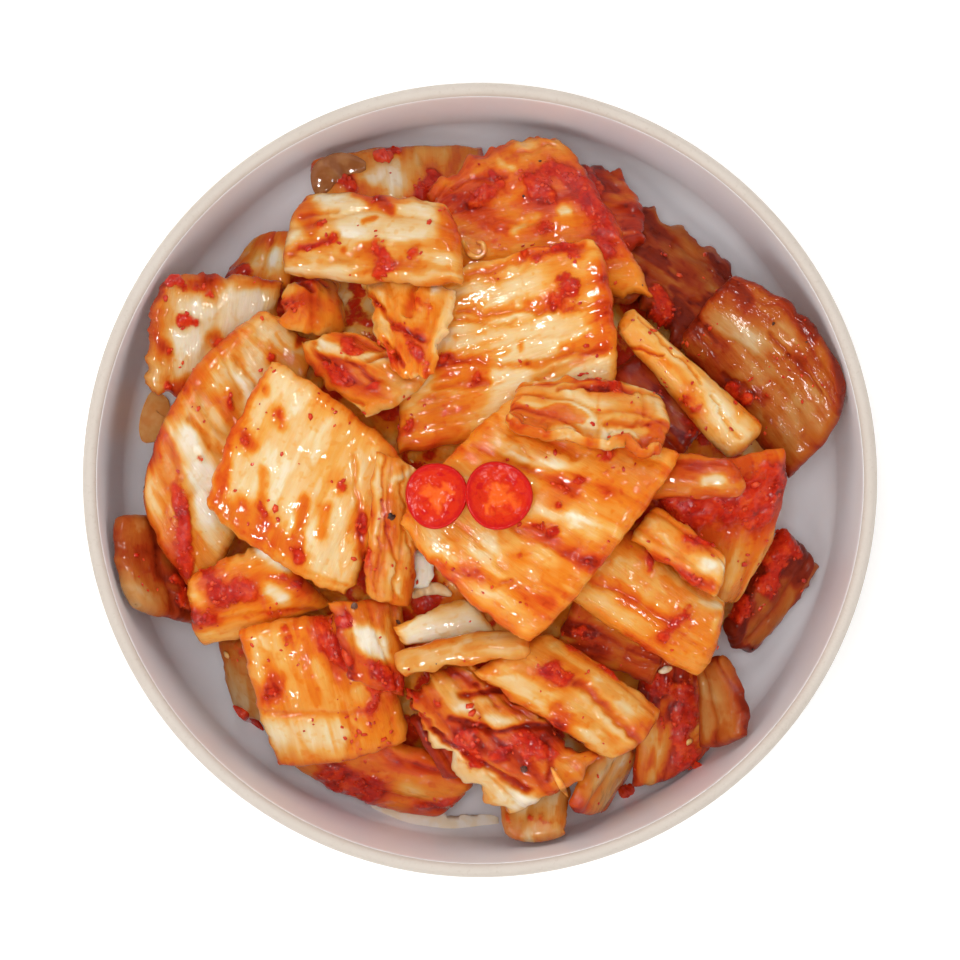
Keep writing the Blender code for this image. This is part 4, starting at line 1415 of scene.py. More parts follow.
# ---- the whole -----------------------------------------------------------------------
# From the bottom of the heap to its top. Strokes are in hundredths of a cut.
CUTS: Tuple[CabbageCut, ...] = (
    CabbageCut("cut_left_soaked", (20.6, 13.8), -83, 4, -0.09, (2.8, 5.5), (0, 0, 0, 2), mottle=0.4,
        soak=1, edge=0.05, groove=0.1, wet=0.8, slot=Slot.RED,
        washes=strokes((12, 33, 64, 22, 2.5, 10)),
        dabs=strokes((33, 55, 50, 72, 1.5, 60), (65, 58, 82, 66, 1.6, 80))),
    CabbageCut("cut_lower_left_scrap", (17, 13.4), -82, 3.5, -0.05, (0.4, 3.5), (0, 1, 0, 0), mottle=0.4,
        tint=0.22, soak=0.77, edge=0.05, wet=0.7, slot=Slot.RED,
        washes=strokes((10, -25, 1.5, -20)),
        dabs=strokes((15, 28, 2, 70))),
    CabbageCut("cut_bottom_left", (31.1, 12.2), -21, 4.5, -0.07, (7.5, 4), (1, 1, 0, 2.4), rise=0.8,
        tint=0.54, edge=0.12, groove=0.25, wet=0.7,
        washes=strokes((30, 53, 77, 46, 1.8, -18), (24, 26, 52, 40, 2.2, 30), (18, 15, 2, -12)),
        dabs=strokes((24, 33, 50, 42, 2, 95), (30, 7, 52, 20, 1.8, 80), (80, 29, 96, 50, 1.2, 70))),
    CabbageCut("cut_bottom_strip", (14.5, 5.6), -58, 4, 0.1, (1, 1), (0, 0.8, 0, 0), ribs=1.5, tint=0.94,
        soak=0.37, wet=0.6,
        washes=strokes((52, 5, 107, 49, 1.8, -10), (44, -25, 2, 30)),
        dabs=strokes((45, -25, 2, 50))),
    CabbageCut("cut_bottom_amber", (15.5, 13.5), -91, 4, -0.06, (2.3, -0.2), (0, 1.5, 0, 0), tint=0.13,
        soak=0.59, edge=0.12, wet=0.8,
        washes=strokes((57, 36, 2, -15)),
        dabs=strokes((74, 52, 80, 67, 1.2, 60), (76, 14, 1, 40))),
    CabbageCut("cut_bottom_pale", (14.9, 8.5), -120, 3.5, -0.15, (-2.1, -1.3), (0, 1, 0, 0), tint=0.12,
        soak=0.31, edge=0.22, wet=0.6,
        washes=strokes((49, 27, 23, 39, 1.8, -12), (93, 12, 2, 25)),
        dabs=strokes((109, 23, 1.5, 50))),
    CabbageCut("cut_lower_right_dark", (25.1, 15.5), -92, 4, 0.03, (2.4, -8.4), (0, 1.5, 0, 0),
        mottle=0.4, film=0.2, tint=0.54, soak=0.23, edge=0.1, groove=0.2, wet=0.9, slot=Slot.RED,
        washes=strokes((32, 42, 1.4, -35), (64, 86, 1.8, -30), (73, 28, 1.8, -10)),
        dabs=strokes((33, 56, 85, 67, 2.6, 100), (19, -3, 27, 24, 2.2, 90), (40, 17, 1.5, 50))),
    CabbageCut("cut_lower_right_tan", (17.4, 7.1), -83, 3.6, 0.29, (-1, -1.6), (0, 0.5, 1.5, 0),
        tint=0.31, soak=1, edge=0.22, groove=0.2, wet=0.7,
        washes=strokes((20, 20, 45, 45, 1.2, -12)),
        dabs=strokes((-1, 33, 1.4, 80))),
    CabbageCut("cut_right_small", (23.4, 9.8), 56, 4, 0.24, (1.5, 1.8), (1, 0.5, 0, 1), frill=0.9,
        film=0.2, tint=0.52, soak=0.91, wet=0.8,
        washes=strokes((42, 99, 40, 61, 1.4, -15), (88, 125, 1.8, -10)),
        dabs=strokes((125, 111, 54, 74, 2.2, 100), (21, 97, 28, 94, 2.4, 100), (90, 69, 1.4, 90))),
    CabbageCut("cut_upper_right_dark", (25.7, 18.6), -33, 3.6, -0.04, (-7.4, 1.5), (0, 0, 1.2, 0),
        crumple=0.6, frill=1.8, mottle=0.55, film=0.22, tint=0.75, soak=0.93, edge=0.05, wet=0.9,
        slot=Slot.RED,
        dabs=strokes((50, 12, 70, 4, 2.4, 80), (8, 74, 2, 60))),
    CabbageCut("cut_far_right", (34.8, 20), -47, 4, 0.11, (-2.5, -5.6), (0, 1, 2.6, 0), crumple=0.4,
        mottle=0.2, tint=0.41, soak=0.93, edge=0.26, groove=0.2, wet=0.6,
        washes=strokes((6, 51, 36, 60, 2.4, -20), (40, 77, 76, 72, 1.5, -12), (44, 39, 62, 40, 1.6, -12),
            (74, 45, 81, 40, 1.4, -18), (8, 36, 20, 32, 0.9, 16), (5, 90, 18, 81, 1.4, 10),
            (53, 95, 59, 96, 1.4, 24), (57, 75, 74, 79, 1.2, 14), (42, 51, 50, 58, 1, 10),
            (88, 62, 1.6, 10)),
        dabs=strokes((42, 15, 51, 19, 1.3, 95), (58, 33, 0.7, 70), (64, 78, 0.8, 40), (-1, 118, 1.2, 60),
            (36, 86, 0.5, 50)),
        creases=strokes((38, 71, 55, 69, 0.5, 90), (55, 69, 82, 69, 0.5, 90), (32, 20, 52, 24, 0.5, 80))),
    CabbageCut("cut_under_right", (21, 20), -45, 3.4, 0, (2, 0), (0, 0, 0, 0), crumple=0.6, mottle=0.55,
        film=0.22, tint=0.82, soak=0.53, edge=0.05, wet=0.9, slot=Slot.RED,
        dabs=strokes((123, 119, 88, 62, 3, 90), (1, 110, 2.5, 70))),
    CabbageCut("cut_under_low_right", (21, 14), -20, 3.4, 0, (0, 0), (0, 0, 0, 0), crumple=0.6,
        mottle=0.55, film=0.22, tint=0.75, soak=0.63, edge=0.03, wet=0.9, slot=Slot.RED,
        dabs=strokes((23, 37, 3, 70))),
    CabbageCut("stalk_back", (11.9, 33.5), 96, 4.5, 0.07, (1.6, 0.8), (0, 1, 0, 0), rise=0.5, tint=0.27,
        soak=0.3, edge=0.14, groove=0.12, wet=0.7,
        washes=strokes((54, 55, 16, 52, 2.6, -20), (66, 17, 110, -20, 2.4, 22), (51, 83, 2, 40),
            (42, 69, 1.6, -20)),
        dabs=strokes((35, 29, 2, 44, 1.7, 100), (114, 125, 41, 81, 1.5, 95), (79, 60, 83, 53, 1.1, 100),
            (45, 33, 1, 60), (117, -14, 1.2, 40))),
    CabbageCut("cut_behind_square", (10.7, 10.7), 70, 3, -0.35, (-2.6, -4.2), (0, 1, 0, 0), tint=0.38,
        edge=0.2, wet=0.6,
        washes=strokes((44, 32, 24, 47, 2.2, -34), (71, 66, 83, 21, 1.2, 20)),
        dabs=strokes((8, 76, 20, 65, 1.3, 90))),
    CabbageCut("cut_left_square", (23.4, 23.8), -97, 4.2, -0.03, (-4, -2.7), (0, 0.6, 0, 0), rise=0.3,
        crumple=0.5, frill=0.9, tint=-0.08, soak=0.49, edge=0.34, groove=0.05, wet=0.25, film=0.06,
        slot=Slot.PALE,
        washes=strokes((-15, -14, 38, 21, 1.6, 14), (57, 13, 85, 16, 1.5, 22), (8, 30, 4, 51, 1.4, 30),
            (7, 69, 5, 91, 1.2, 22), (30, 3, 57, 10, 1.6, 24), (95, 21, 84, 33, 1.4, 30),
            (49, 49, 60, 58, 1.4, 25)),
        creases=strokes((-11, 121, 33, 94, 0.8, 50)),
        dabs=strokes((5, 17, 9, 21, 1.2, 100), (35, 24, 38, 32, 1.2, 100), (119, 125, 57, 56, 1.2, 100),
            (62, 17, 0.8, 90), (93, 18, 1.2, 90), (94, 32, 1, 80), (11, 32, 14, 42, 1, 70),
            (17, 45, 0.6, 60))),
    CabbageCut("cut_top_side", (16.5, 17.4), -8, 3.4, -0.15, (-0.7, -6.4), (0, 1.2, 0, 0), crumple=0.8,
        frill=1.4, mottle=0.55, film=0.22, tint=0.71, soak=0.18, wet=0.9, slot=Slot.RED,
        dabs=strokes((43, 89, 51, 64, 1.6, 80))),
    CabbageCut("cut_left_ribbed", (19.5, 45.8), -54, 4.6, 0.07, (-15.1, -27.7), (4.6, 0, 0, 1.5), ribs=3,
        rise=0.7, crumple=0.55, tint=0.19, soak=0.2, edge=0.22, groove=0.12, wet=1,
        washes=strokes((-11, -1, -5, 23, 2, 22), (2, 68, 6, 46, 2, 16), (-25, 108, 118, 108, 3, -16),
            (42, 69, 61, 67, 1.8, -14), (25, 34, 57, 33, 2.4, -24), (49, 30, 65, 24, 2.4, -22),
            (59, 56, 32, 55, 1.6, 14), (20, 45, 35, 44, 1, 14), (66, 98, 1.2, 40)),
        creases=strokes((19, 40, 58, 44, 0.6, 90), (46, 64, 6, 68, 0.5, 60), (4, 28, 28, 26, 0.8, 70),
            (55, 71, 16, 72, 0.45, 70)),
        dabs=strokes((39, 59, 1, 100), (34, 21, 51, 14, 1.6, 100), (45, 16, 65, 5, 2, 100),
            (58, 57, 62, 52, 1.2, 60), (41, 35, 0.6, 60), (9, 20, 0.9, 40), (49, 84, 0.8, 100))),
    CabbageCut("cut_left_folded", (22.5, 15.1), 20, 4.6, 0.08, (2.8, -7.4), (1, 0, 0, 1), ribs=1.5,
        rise=0.4, tint=0.39, edge=0.14, groove=0.05, wet=0.9,
        washes=strokes((91, 92, 95, 67, 2.2, -38), (72, 46, 77, 39, 1.8, -42), (-13, -20, 89, 7, 1.8, 8),
            (4, 82, 12, 65, 1.6, -28), (11, 34, 1.5, -15)),
        creases=strokes((10, 47, 90, 10, 0.5, 60)),
        dabs=strokes((30, 66, 56, 57, 2.2, 100), (5, 51, 16, 45, 1.4, 85), (89, 54, 94, 41, 1, 85),
            (62, 23, 1.1, 50), (4, 123, 27, 92, 1.8, 90))),
    CabbageCut("cut_lower_left_square", (28.5, 28.2), -76, 5, -0.01, (3.6, 1.2), (0.5, 1, 0, 0), ribs=3,
        rise=0.35, edge=0.1, groove=0.08, wet=0.45,
        washes=strokes((10, 14, 33, 9, 1.8, -20), (73, 9, 77, 55, 3.4, -18), (42, 71, 57, 74, 1.8, -22),
            (37, 20, 49, 12, 1.6, 24), (74, 90, 94, 90, 3, 10), (95, 2, 103, 89, 1.3, 14)),
        creases=strokes((68, 62, 90, 57, 0.4, 60), (58, 8, 68, 77, 0.6, 60), (3, 57, 45, 60, 0.5, 40)),
        dabs=strokes((7, 60, 18, 66, 2.2, 90), (22, 64, 36, 75, 2, 90), (42, 83, 52, 98, 2.4, 85),
            (62, 83, 67, 77, 1.2, 100), (45, 15, 1, 60), (12, 36, 0.8, 60), (55, 84, 1.5, 60),
            (78, 74, 0.5, 70), (5, 34, 0.8, 50))),
    CabbageCut("cut_top_orange", (33.4, 29.2), 10, 4.2, 0.27, (-4.3, -13.2), (0, 1, 2.6, 0), ribs=3,
        rise=0.7, crumple=0.6, frill=0.9, tint=0.5, edge=0.12, groove=0.12, wet=0.95,
        washes=strokes((68, 94, 116, 110, 3, -14), (39, 89, 49, 89, 2, -10), (28, 58, -18, 119, 2.6, 30),
            (42, 45, 56, 51, 1.2, -34), (71, 52, 74, 51, 1.1, -42), (53, 87, 58, 82, 1, -30),
            (118, 109, 86, 86, 1.2, -15), (77, 63, 1.6, -5), (85, 14, 1.8, -5)),
        creases=strokes((61, 91, 89, 90, 0.4, 60), (18, 89, 51, 79, 0.6, 90), (31, 47, 55, 47, 0.6, 80),
            (81, 78, 58, 78, 0.5, 50)),
        dabs=strokes((64, 75, 78, 73, 2.2, 100), (90, 71, 95, 58, 2.8, 100), (62, 66, 69, 62, 1.6, 80),
            (45, 84, 1.1, 90), (28, 70, 36, 73, 1.8, 80), (85, 26, 93, 36, 2.2, 85), (59, 40, 1.6, 70),
            (87, 50, 89, 44, 2.4, 90), (46, 77, 0.9, 90), (79, 18, 1.5, 60))),
    CabbageCut("stalk_split", (35.2, 7.5), -45, 5.4, 0.37, (-1.4, 0.8), (0, 0.6, 0, 0), ribs=1, rise=0.2,
        crumple=0.2, frill=0.2, tint=0.21, edge=0.16, groove=0, wet=0.6, film=0.03, mottle=0.08,
        slot=Slot.PALE,
        washes=strokes((4, 70, 30, 71, 1, 2), (67, 45, 95, 46, 1.3, -12), (84, 108, 98, 94, 1, 22),
            (32, 33, 54, 41, 0.7, 16), (18, 72, 109, 125, 0.6, -10)),
        creases=strokes((5, -14, 30, 44, 0.35, 150), (8, 69, 57, 62, 0.28, 80),
            (24, 111, 101, 113, 0.32, 100), (65, 54, 93, 40, 0.28, 80), (45, 92, 109, 125, 0.25, 60)),
        dabs=strokes((57, 20, 64, 17, 1, 80), (93, 103, 96, 95, 0.7, 60), (83, 75, 0.5, 50))),
    CabbageCut("cut_right_shell", (27.1, 17.6), -93, 4.4, -0.46, (-7.8, 2.1), (0.5, 0.5, 3.2, 0),
        crumple=0.5, soak=0.16, edge=0.06, groove=0.1, wet=1,
        washes=strokes((16, 92, 41, 101, 1.6, 10), (47, 100, 1.4, -30), (59, 67, 85, 60, 2.2, 0),
            (10, 86, 1.5, 10)),
        dabs=strokes((25, 78, 38, 74, 2.4, 100), (10, 61, 20, 78, 1.8, 90), (16, 8, 32, 46, 2.8, 100),
            (36, 14, 123, -17, 2.6, 100), (7, 83, 20, 94, 1.2, 60))),
    CabbageCut("cut_under_low", (18, 12), -82, 3.2, -0.15, (1.9, 5.4), (0, 0, 0, 0), ribs=3, crumple=0.7,
        tint=0.5, soak=0.2, edge=0.1, wet=1, slot=Slot.RED,
        dabs=strokes((33, -10, 21, 16, 1.6, 100), (69, -3, 108, -15, 1.8, 90), (73, 49, 85, 71, 2.2, 95),
            (112, -18, 1.6, 90)),
        washes=strokes((39, 43, 57, 53, 2.2, -55), (34, 22, 1.2, -20))),
    CabbageCut("scrap_white", (6.4, 5.3), -92, 2.6, -0.04, (0.4, 0.2), (0.6, 0.6, 0.4, 0.4), ribs=1,
        rise=0.3, crumple=0.5, tint=0, edge=0, groove=0, wet=0.2, mottle=0.02, streak=0, film=0,
        slot=Slot.PALE),
    CabbageCut("cut_middle_ribbed", (42.8, 31.4), 16, 4.8, -0.03, (12.1, 4.9), (0, 1, 0.8, 1), ribs=4,
        rise=0.35, tint=0.22, edge=0.2, groove=0.1, wet=0.35, streak=0.06, mottle=0.1, slot=Slot.PALE,
        washes=strokes((97, 75, 96, 42, 2.4, 30), (77, 36, 93, 32, 1.6, 34), (4, 9, 26, 4, 3.6, 14),
            (21, 45, 38, 36, 1.8, 40), (-1, 20, 2.5, 12), (61, 67, 77, 63, 1.4, 30),
            (58, 104, 82, 105, 1.8, 25), (57, 45, 0.6, 30), (26, 60, 0.7, 14),
            (118, -15, 121, -5, 1.6, 10), (15, 25, 37, 22, 2.2, 22), (88, 91, 2, 15)),
        creases=strokes((31, 93, 92, 95, 0.8, 100), (27, 74, 72, 59, 0.6, 90), (72, 59, 98, 55, 0.7, 60),
            (23, 70, 54, 59, 0.35, 70), (23, 49, 59, 33, 0.7, 100), (59, 33, 96, 28, 0.7, 90),
            (17, 34, 41, 30, 0.8, 130), (11, 18, 39, 10, 0.8, 40)),
        dabs=strokes((79, 74, 83, 69, 1.9, 100), (73, 63, 80, 59, 1.5, 60), (79, 97, 86, 92, 1.8, 70),
            (67, 90, 108, 122, 0.9, 60), (62, 97, 0.8, 90), (97, 70, 0.9, 50), (36, 33, 0.9, 80),
            (20, 49, 1.1, 70), (7, 17, 0.9, 80), (45, 86, 1, 40), (17, 3, 1.2, 40))),
    CabbageCut("cut_white_large", (31.7, 33.6), -114, 4.8, 0, (7.4, 5.1), (0.8, 1, 0, 0.6), ribs=3,
        rise=0.3, crumple=0.45, frill=0.5, tint=0.17, soak=0.06, edge=0.24, groove=0.04, wet=0.2,
        streak=0.07, mottle=0.12, film=0.07, slot=Slot.PALE,
        washes=strokes((37, -6, 81, 7, 1.5, 30), (11, 1, 80, 8, 0.8, 8), (90, 7, 91, 27, 1.9, 34),
            (84, 24, 86, 44, 2, 30), (24, 22, 31, 27, 1, 20), (59, 54, 89, 63, 1.1, 42),
            (56, 67, 69, 71, 1.6, 34), (58, 28, 76, 33, 1, 30), (90, 33, 87, 53, 2.2, 34),
            (48, 9, 50, 15, 1.2, 28), (17, 8, 20, 9, 0.7, 14), (53, 88, 82, 105, 1.3, 26),
            (44, 70, 0.8, 12)),
        creases=strokes((21, 69, 110, 121, 0.7, 70), (95, 72, 91, 94, 0.6, 40)),
        dabs=strokes((26, 21, 27, 24, 0.9, 55), (49, 10, 51, 11, 1, 80), (19, 7, 0.6, 60),
            (88, 61, 90, 64, 1.2, 95), (39, 68, 40, 70, 0.9, 75), (49, 86, 55, 89, 1, 95),
            (77, 34, 78, 37, 0.9, 70), (82, 23, 0.6, 50))),
    CabbageCut("cut_veined", (28.6, 8.9), -95, 3.2, 0.03, (2.8, 2), (0, 0, 0.8, 0), ribs=2.5, rise=0.45,
        crumple=0.8, tint=0.4, soak=0.19, edge=0.1, groove=0.1, streak=0.16, wet=0.9,
        # Its one darkening wash, (48, -8, 112, -18), is painted shade between its folded ribs.
        washes=strokes((4, 10, 53, 22, 0.7, -20), (17, 44, -23, 114, 0.5, -16),
            (67, 40, 91, 72, 0.7, -14), (48, -8, 112, -18, 0.6, 12)),
        dabs=strokes((43, 14, 1, 40), (68, 2, 108, -20, 0.7, 70), (47, 43, 0.4, 40),
            (77, 15, 92, 24, 0.5, 50)),
        creases=strokes((1, 23, 31, 25, 0.22, 90), (31, 25, 89, 64, 0.22, 90), (31, 25, 88, 26, 0.2, 80),
            (3, 57, 47, 69, 0.2, 80), (47, 69, 77, 85, 0.2, 70), (-1, -10, 55, 8, 0.2, 80))),
    CabbageCut("cut_crumpled_left", (9.3, 11.7), -85, 3.4, 0.18, (-0.7, 2.5), (0, 0.8, 0, 0), rise=0.5,
        crumple=1.4, frill=0.8, thin=0.4, tint=0.6, soak=0.14, edge=-0.16, groove=0.1, wet=0.9,
        washes=strokes((3, -10, 28, 10, 1.2, -18), (44, 18, 56, 48, 1.2, 20), (-25, 18, -15, 24, 1, -10)),
        dabs=strokes((-25, 15, 7, 39, 1.5, 85), (56, 4, 68, 23, 1.2, 60), (-7, 64, 1.2, 50)),
        creases=strokes((-25, 14, 33, 42, 0.6, 160), (22, -17, 73, 20, 0.5, 120),
            (-25, 32, 18, 69, 0.5, 140))),
    CabbageCut("cut_crumpled_low", (19.5, 12.3), -36, 3.4, 0.28, (7.1, 5), (0.6, 0.6, 0, 0.8),
        crumple=1.3, frill=0.7, thin=0.4, tint=0.63, soak=0.22, edge=-0.1, wet=0.95,
        washes=strokes((8, 34, 123, 125, 1.3, -40), (74, 41, 112, 121, 1.8, -10), (14, 8, 41, -9, 1, 12),
            (112, -16, 105, 22, 1.2, -6)),
        dabs=strokes((35, 24, 56, 16, 1.3, 95), (29, -6, 0.9, 80), (18, 66, 34, 61, 1.4, 90),
            (77, 40, 1.2, 80), (77, 30, 1, 60)),
        creases=strokes((3, 28, 60, 17, 0.5, 150), (36, 48, 70, 45, 0.5, 120),
            (52, 63, 63, 101, 0.6, 160), (51, -6, 87, 11, 0.45, 120))),
    CabbageCut("cut_crumpled_flap", (18, 13.6), -88, 3.2, -0.4, (3.6, 0.7), (0, 1, 1.2, 0), rise=0.7,
        crumple=1.5, frill=1, thin=0.5, tint=0.5, edge=-0.12, groove=0.12, wet=0.9,
        washes=strokes((24, 22, 77, 21, 1, -22), (11, 80, 51, 51, 1, -20), (16, -17, 51, -21, 1.2, -20),
            (21, 66, 1.2, 12), (103, 9, 1.6, 10)),
        dabs=strokes((35, 9, 1, 90), (55, 35, 125, 116, 1, 90), (77, 4, 89, 17, 1.3, 95),
            (23, 65, 30, 71, 1, 60), (62, 60, 0.8, 80)),
        creases=strokes((-11, -23, 55, 35, 0.6, 160), (55, 35, 64, 71, 0.5, 120),
            (1, 60, 39, 52, 0.6, 140), (71, 18, 91, 39, 0.5, 140), (3, -7, 72, -15, 0.5, 160))),
    CabbageCut("cut_white_fan", (33, 16.7), -5, 4.6, -0.04, (3.2, -4.5), (1, 0.8, 0.8, 0), ribs=3,
        crumple=0.35, tint=0.09, soak=0.28, edge=0.2, groove=0.1, wet=0.4, slot=Slot.PALE,
        washes=strokes((7, 74, 12, 67, 2.2, 42), (-14, 105, 1.2, 40), (96, 78, 94, 45, 2.2, 42),
            (84, 40, 2.2, 20), (37, 97, 61, 79, 0.9, 50), (51, 66, 45, 61, 0.7, 45), (35, 35, 0.6, 40),
            (16, 49, 1.6, 30)),
        creases=strokes((4, 86, -13, 120, 0.5, 90), (8, 66, 29, 71, 0.6, 80), (7, 26, 31, 46, 0.5, 90),
            (24, 18, 51, 34, 0.8, 50)),
        dabs=strokes((56, 35, 58, 11, 1.8, 100), (60, 82, 0.9, 80), (52, 89, 0.8, 85), (21, 54, 1.1, 75),
            (12, 31, 29, 44, 0.5, 85), (74, 29, 1.2, 85))),
    CabbageCut("cut_right_thick", (30, 16.5), -35, 5.6, -0.09, (3.9, -4.3), (0, 1.2, 0, 1.2), rise=0.7,
        tint=0.35, soak=0.04, edge=0.12, groove=0.2, wet=0.95,
        washes=strokes((50, 43, 62, 40, 1.6, 24), (120, 118, 70, 71, 1.6, -20), (81, 28, 92, 30, 3, 6),
            (66, 23, 1.4, 25), (91, 65, 1, -20), (36, 33, 2, 10), (49, 6, 59, 4, 1.6, 25)),
        dabs=strokes((71, 64, 69, 48, 0.9, 70), (66, 27, 68, 38, 1, 60), (65, -1, 0.9, 60),
            (27, 83, 33, 73, 0.7, 80))),
    CabbageCut("cut_pocket_back", (26.3, 8.3), -1, 4, -0.12, (-2.2, -2.1), (0, 0.8, 0.8, 0), ribs=1,
        rise=0.5, tint=0.51, soak=0.35, edge=0.14, groove=0.1, wet=0.9, slot=Slot.PALE,
        washes=strokes((75, 44, 88, 43, 1, -26), (46, 57, 71, 69, 1.4, 16), (6, 40, -21, 116, 1.6, -5)),
        dabs=strokes((107, 125, 1, 70), (2, 54, 0.8, 80), (118, 109, 0.8, 40))),
    CabbageCut("cut_pocket_front", (19.5, 8.1), -36, 4, -0.04, (-0.1, -3.2), (0, 0.6, 0.6, 0), rise=0.7,
        tint=0.19, edge=0.12, wet=1, slot=Slot.PALE,
        washes=strokes((61, 49, 96, 65, 1.4, -14), (28, 4, 88, 17, 1.1, 42), (9, 35, 24, 32, 1.2, 10)),
        dabs=strokes((43, -7, 73, 10, 1.1, 95), (45, 74, 85, 110, 0.6, 85), (57, 72, 0.9, 40),
            (-5, -19, 27, -25, 1.3, 85))),
    CabbageCut("cut_low_folded", (33.2, 17.7), -44, 5, 0.13, (4.4, 5.5), (0, 0.8, 0, 0.8), ribs=3,
        rise=0.7, crumple=0.9, frill=1.3, tint=0.52, soak=0.28, edge=0.06, wet=1,
        washes=strokes((34, 5, 96, 23, 2.6, -36), (4, 37, 26, 45, 2.6, -5), (24, 48, 35, 89, 0.9, -14),
            (38, 59, 58, 97, 1, -26), (79, 73, 96, 90, 2.2, -14), (4, 72, 16, 77, 1.3, 35),
            (68, 83, 1.2, 22), (9, 10, 23, 12, 1.4, -10)),
        dabs=strokes((31, 105, 1.6, 95), (41, 31, 56, 20, 1.9, 100), (60, 67, 74, 70, 2.4, 100),
            (60, 44, 1.6, 90), (54, 110, 1.3, 70), (67, 100, 1.2, 85), (-23, -4, 4, 16, 1.5, 80),
            (16, 31, 0.9, 50), (38, 48, 0.8, 60)),
        creases=strokes((29, 12, 89, 35, 0.7, 220), (27, 33, 45, 53, 0.7, 160),
            (45, 53, 62, 93, 0.6, 160), (18, 58, 32, 103, 0.7, 200), (-25, -10, 33, 15, 0.5, 140),
            (71, 82, 89, 58, 0.6, 140), (17, 81, 37, 75, 0.4, 100))),
    CabbageCut("cut_low_ribs", (31.2, 14.1), -34, 5.2, -0.06, (7.8, 3.4), (0, 1.2, 0.8, 0), rise=0.4,
        crumple=0.3, tint=0.25, soak=0.15, edge=0.18, groove=0.1, wet=0.6, slot=Slot.PALE,
        washes=strokes((52, 110, 111, 110, 1.3, 50), (90, 58, 103, 67, 2, 24), (96, 79, 0.9, -20),
            (85, 22, 1.4, 10), (46, 25, 59, 9, 1.4, 35)),
        creases=strokes((43, 60, 97, 41, 0.7, 160)),
        dabs=strokes((20, 116, 23, 105, 2, 100), (50, 95, 58, 97, 1.6, 95), (23, 52, 35, 57, 1.7, 95),
            (60, -2, 1.4, 85))),
    CabbageCut("cut_edge_back", (17.6, 6.2), 12, 3.6, 0.35, (-1.4, -5), (0, 0.4, 0.4, 0), ribs=1,
        rise=0.3, crumple=0.3, tint=0, edge=0.24, groove=0, wet=0.2, mottle=0.08, slot=Slot.PALE,
        washes=strokes((113, -24, 114, -15, 1.2, 25)),
        dabs=strokes((-10, 3, 5, -15, 0.8, 60))),
    CabbageCut("cut_edge_front", (26, 5), 9, 3.2, 0, (-1.5, 0), (0.4, 0.4, 1.6, -0.8), ribs=1, rise=0.3,
        crumple=0.3, tint=0.06, soak=0.37, edge=0.24, groove=0, wet=0.2, slot=Slot.PALE,
        washes=strokes((7, 34, 17, 44, 0.8, 10))),
    CabbageCut("cut_centre", (35.1, 41.8), -32, 5, 0.15, (6.9, 5.2), (1, 0.6, 0.8, 1.6), ribs=4,
        rise=0.35, tint=0.38, edge=0.14, groove=0.14, wet=0.7,
        washes=strokes((1, 57, 9, 58, 2, 10), (77, 66, 90, 66, 3, 12), (87, 16, 98, 17, 2.8, 14),
            (39, 4, 48, 9, 2.4, 20), (73, 17, 88, 20, 2, 12), (85, 39, 99, 42, 2.4, 18),
            (41, 22, 49, 24, 2.2, -16), (15, 65, 48, 70, 1.5, -18), (71, 55, 85, 52, 2, -18),
            (55, 49, 63, 49, 1.6, -10), (61, -4, 84, 1, 1.6, 16), (60, 11, 68, 14, 1.3, -10)),
        creases=strokes((16, 76, 52, 78, 0.9, 100), (7, 58, 35, 61, 0.9, 90), (35, 61, 64, 64, 1.1, 100),
            (49, 39, 96, 42, 1, 80), (29, 3, 68, 17, 0.9, 80), (68, 17, 92, 19, 1.1, 50)),
        dabs=strokes((55, 61, 60, 62, 0.9, 85), (62, 70, 0.8, 85), (62, 55, 0.8, 95),
            (67, 42, 69, 45, 0.7, 95), (58, 42, 62, 43, 0.6, 80), (92, 41, 0.6, 90), (62, 28, 0.7, 60),
            (71, 77, 0.6, 80), (78, 69, 0.5, 80), (57, 86, 64, 84, 1.6, 80), (38, 76, 44, 76, 0.9, 40))),
    CabbageCut("cut_rolled_lip", (29.1, 9.9), -7, 3.8, 0.15, (1.9, -2.3), (0.6, 1, 1.4, 0), ribs=4,
        rise=0.7, crumple=0.6, frill=0.8, thin=0.3, tint=0.42, soak=0.22, edge=0.02, groove=0.25, wet=1,
        rolls=(Roll(Side.RIGHT, 2.0, 150.0),), film=0.22, mottle=0.3, slot=Slot.RED,
        washes=strokes((-1, 102, 71, 97, 1.1, 6), (35, 60, 52, 27, 1.4, -12),
            (125, -20, 92, 55, 0.8, -14), (62, 9, 125, -7, 1, -22), (99, 84, 100, 42, 1.1, 12),
            (4, 26, 22, 14, 1.6, 6), (22, 1, 47, 2, 1.2, -10)),
        dabs=strokes((54, 88, 69, 74, 1, 100), (55, -2, 57, -10, 0.9, 90), (67, -16, 103, 1, 0.8, 80),
            (77, 110, 0.8, 60), (18, 53, 0.5, 50)),
        creases=strokes((27, 69, 77, 79, 0.5, 120), (53, 59, 60, -8, 0.35, 30),
            (60, 23, 87, 34, 0.45, 120), (83, 84, 83, 44, 0.45, 50), (5, 51, -24, -19, 0.4, 70),
            (17, -2, 53, 8, 0.4, 80))),
)

SLICES: Tuple[ChilliSlice, ...] = (ChilliSlice("chilli_left", 0.5), ChilliSlice("chilli_right", 1.3))

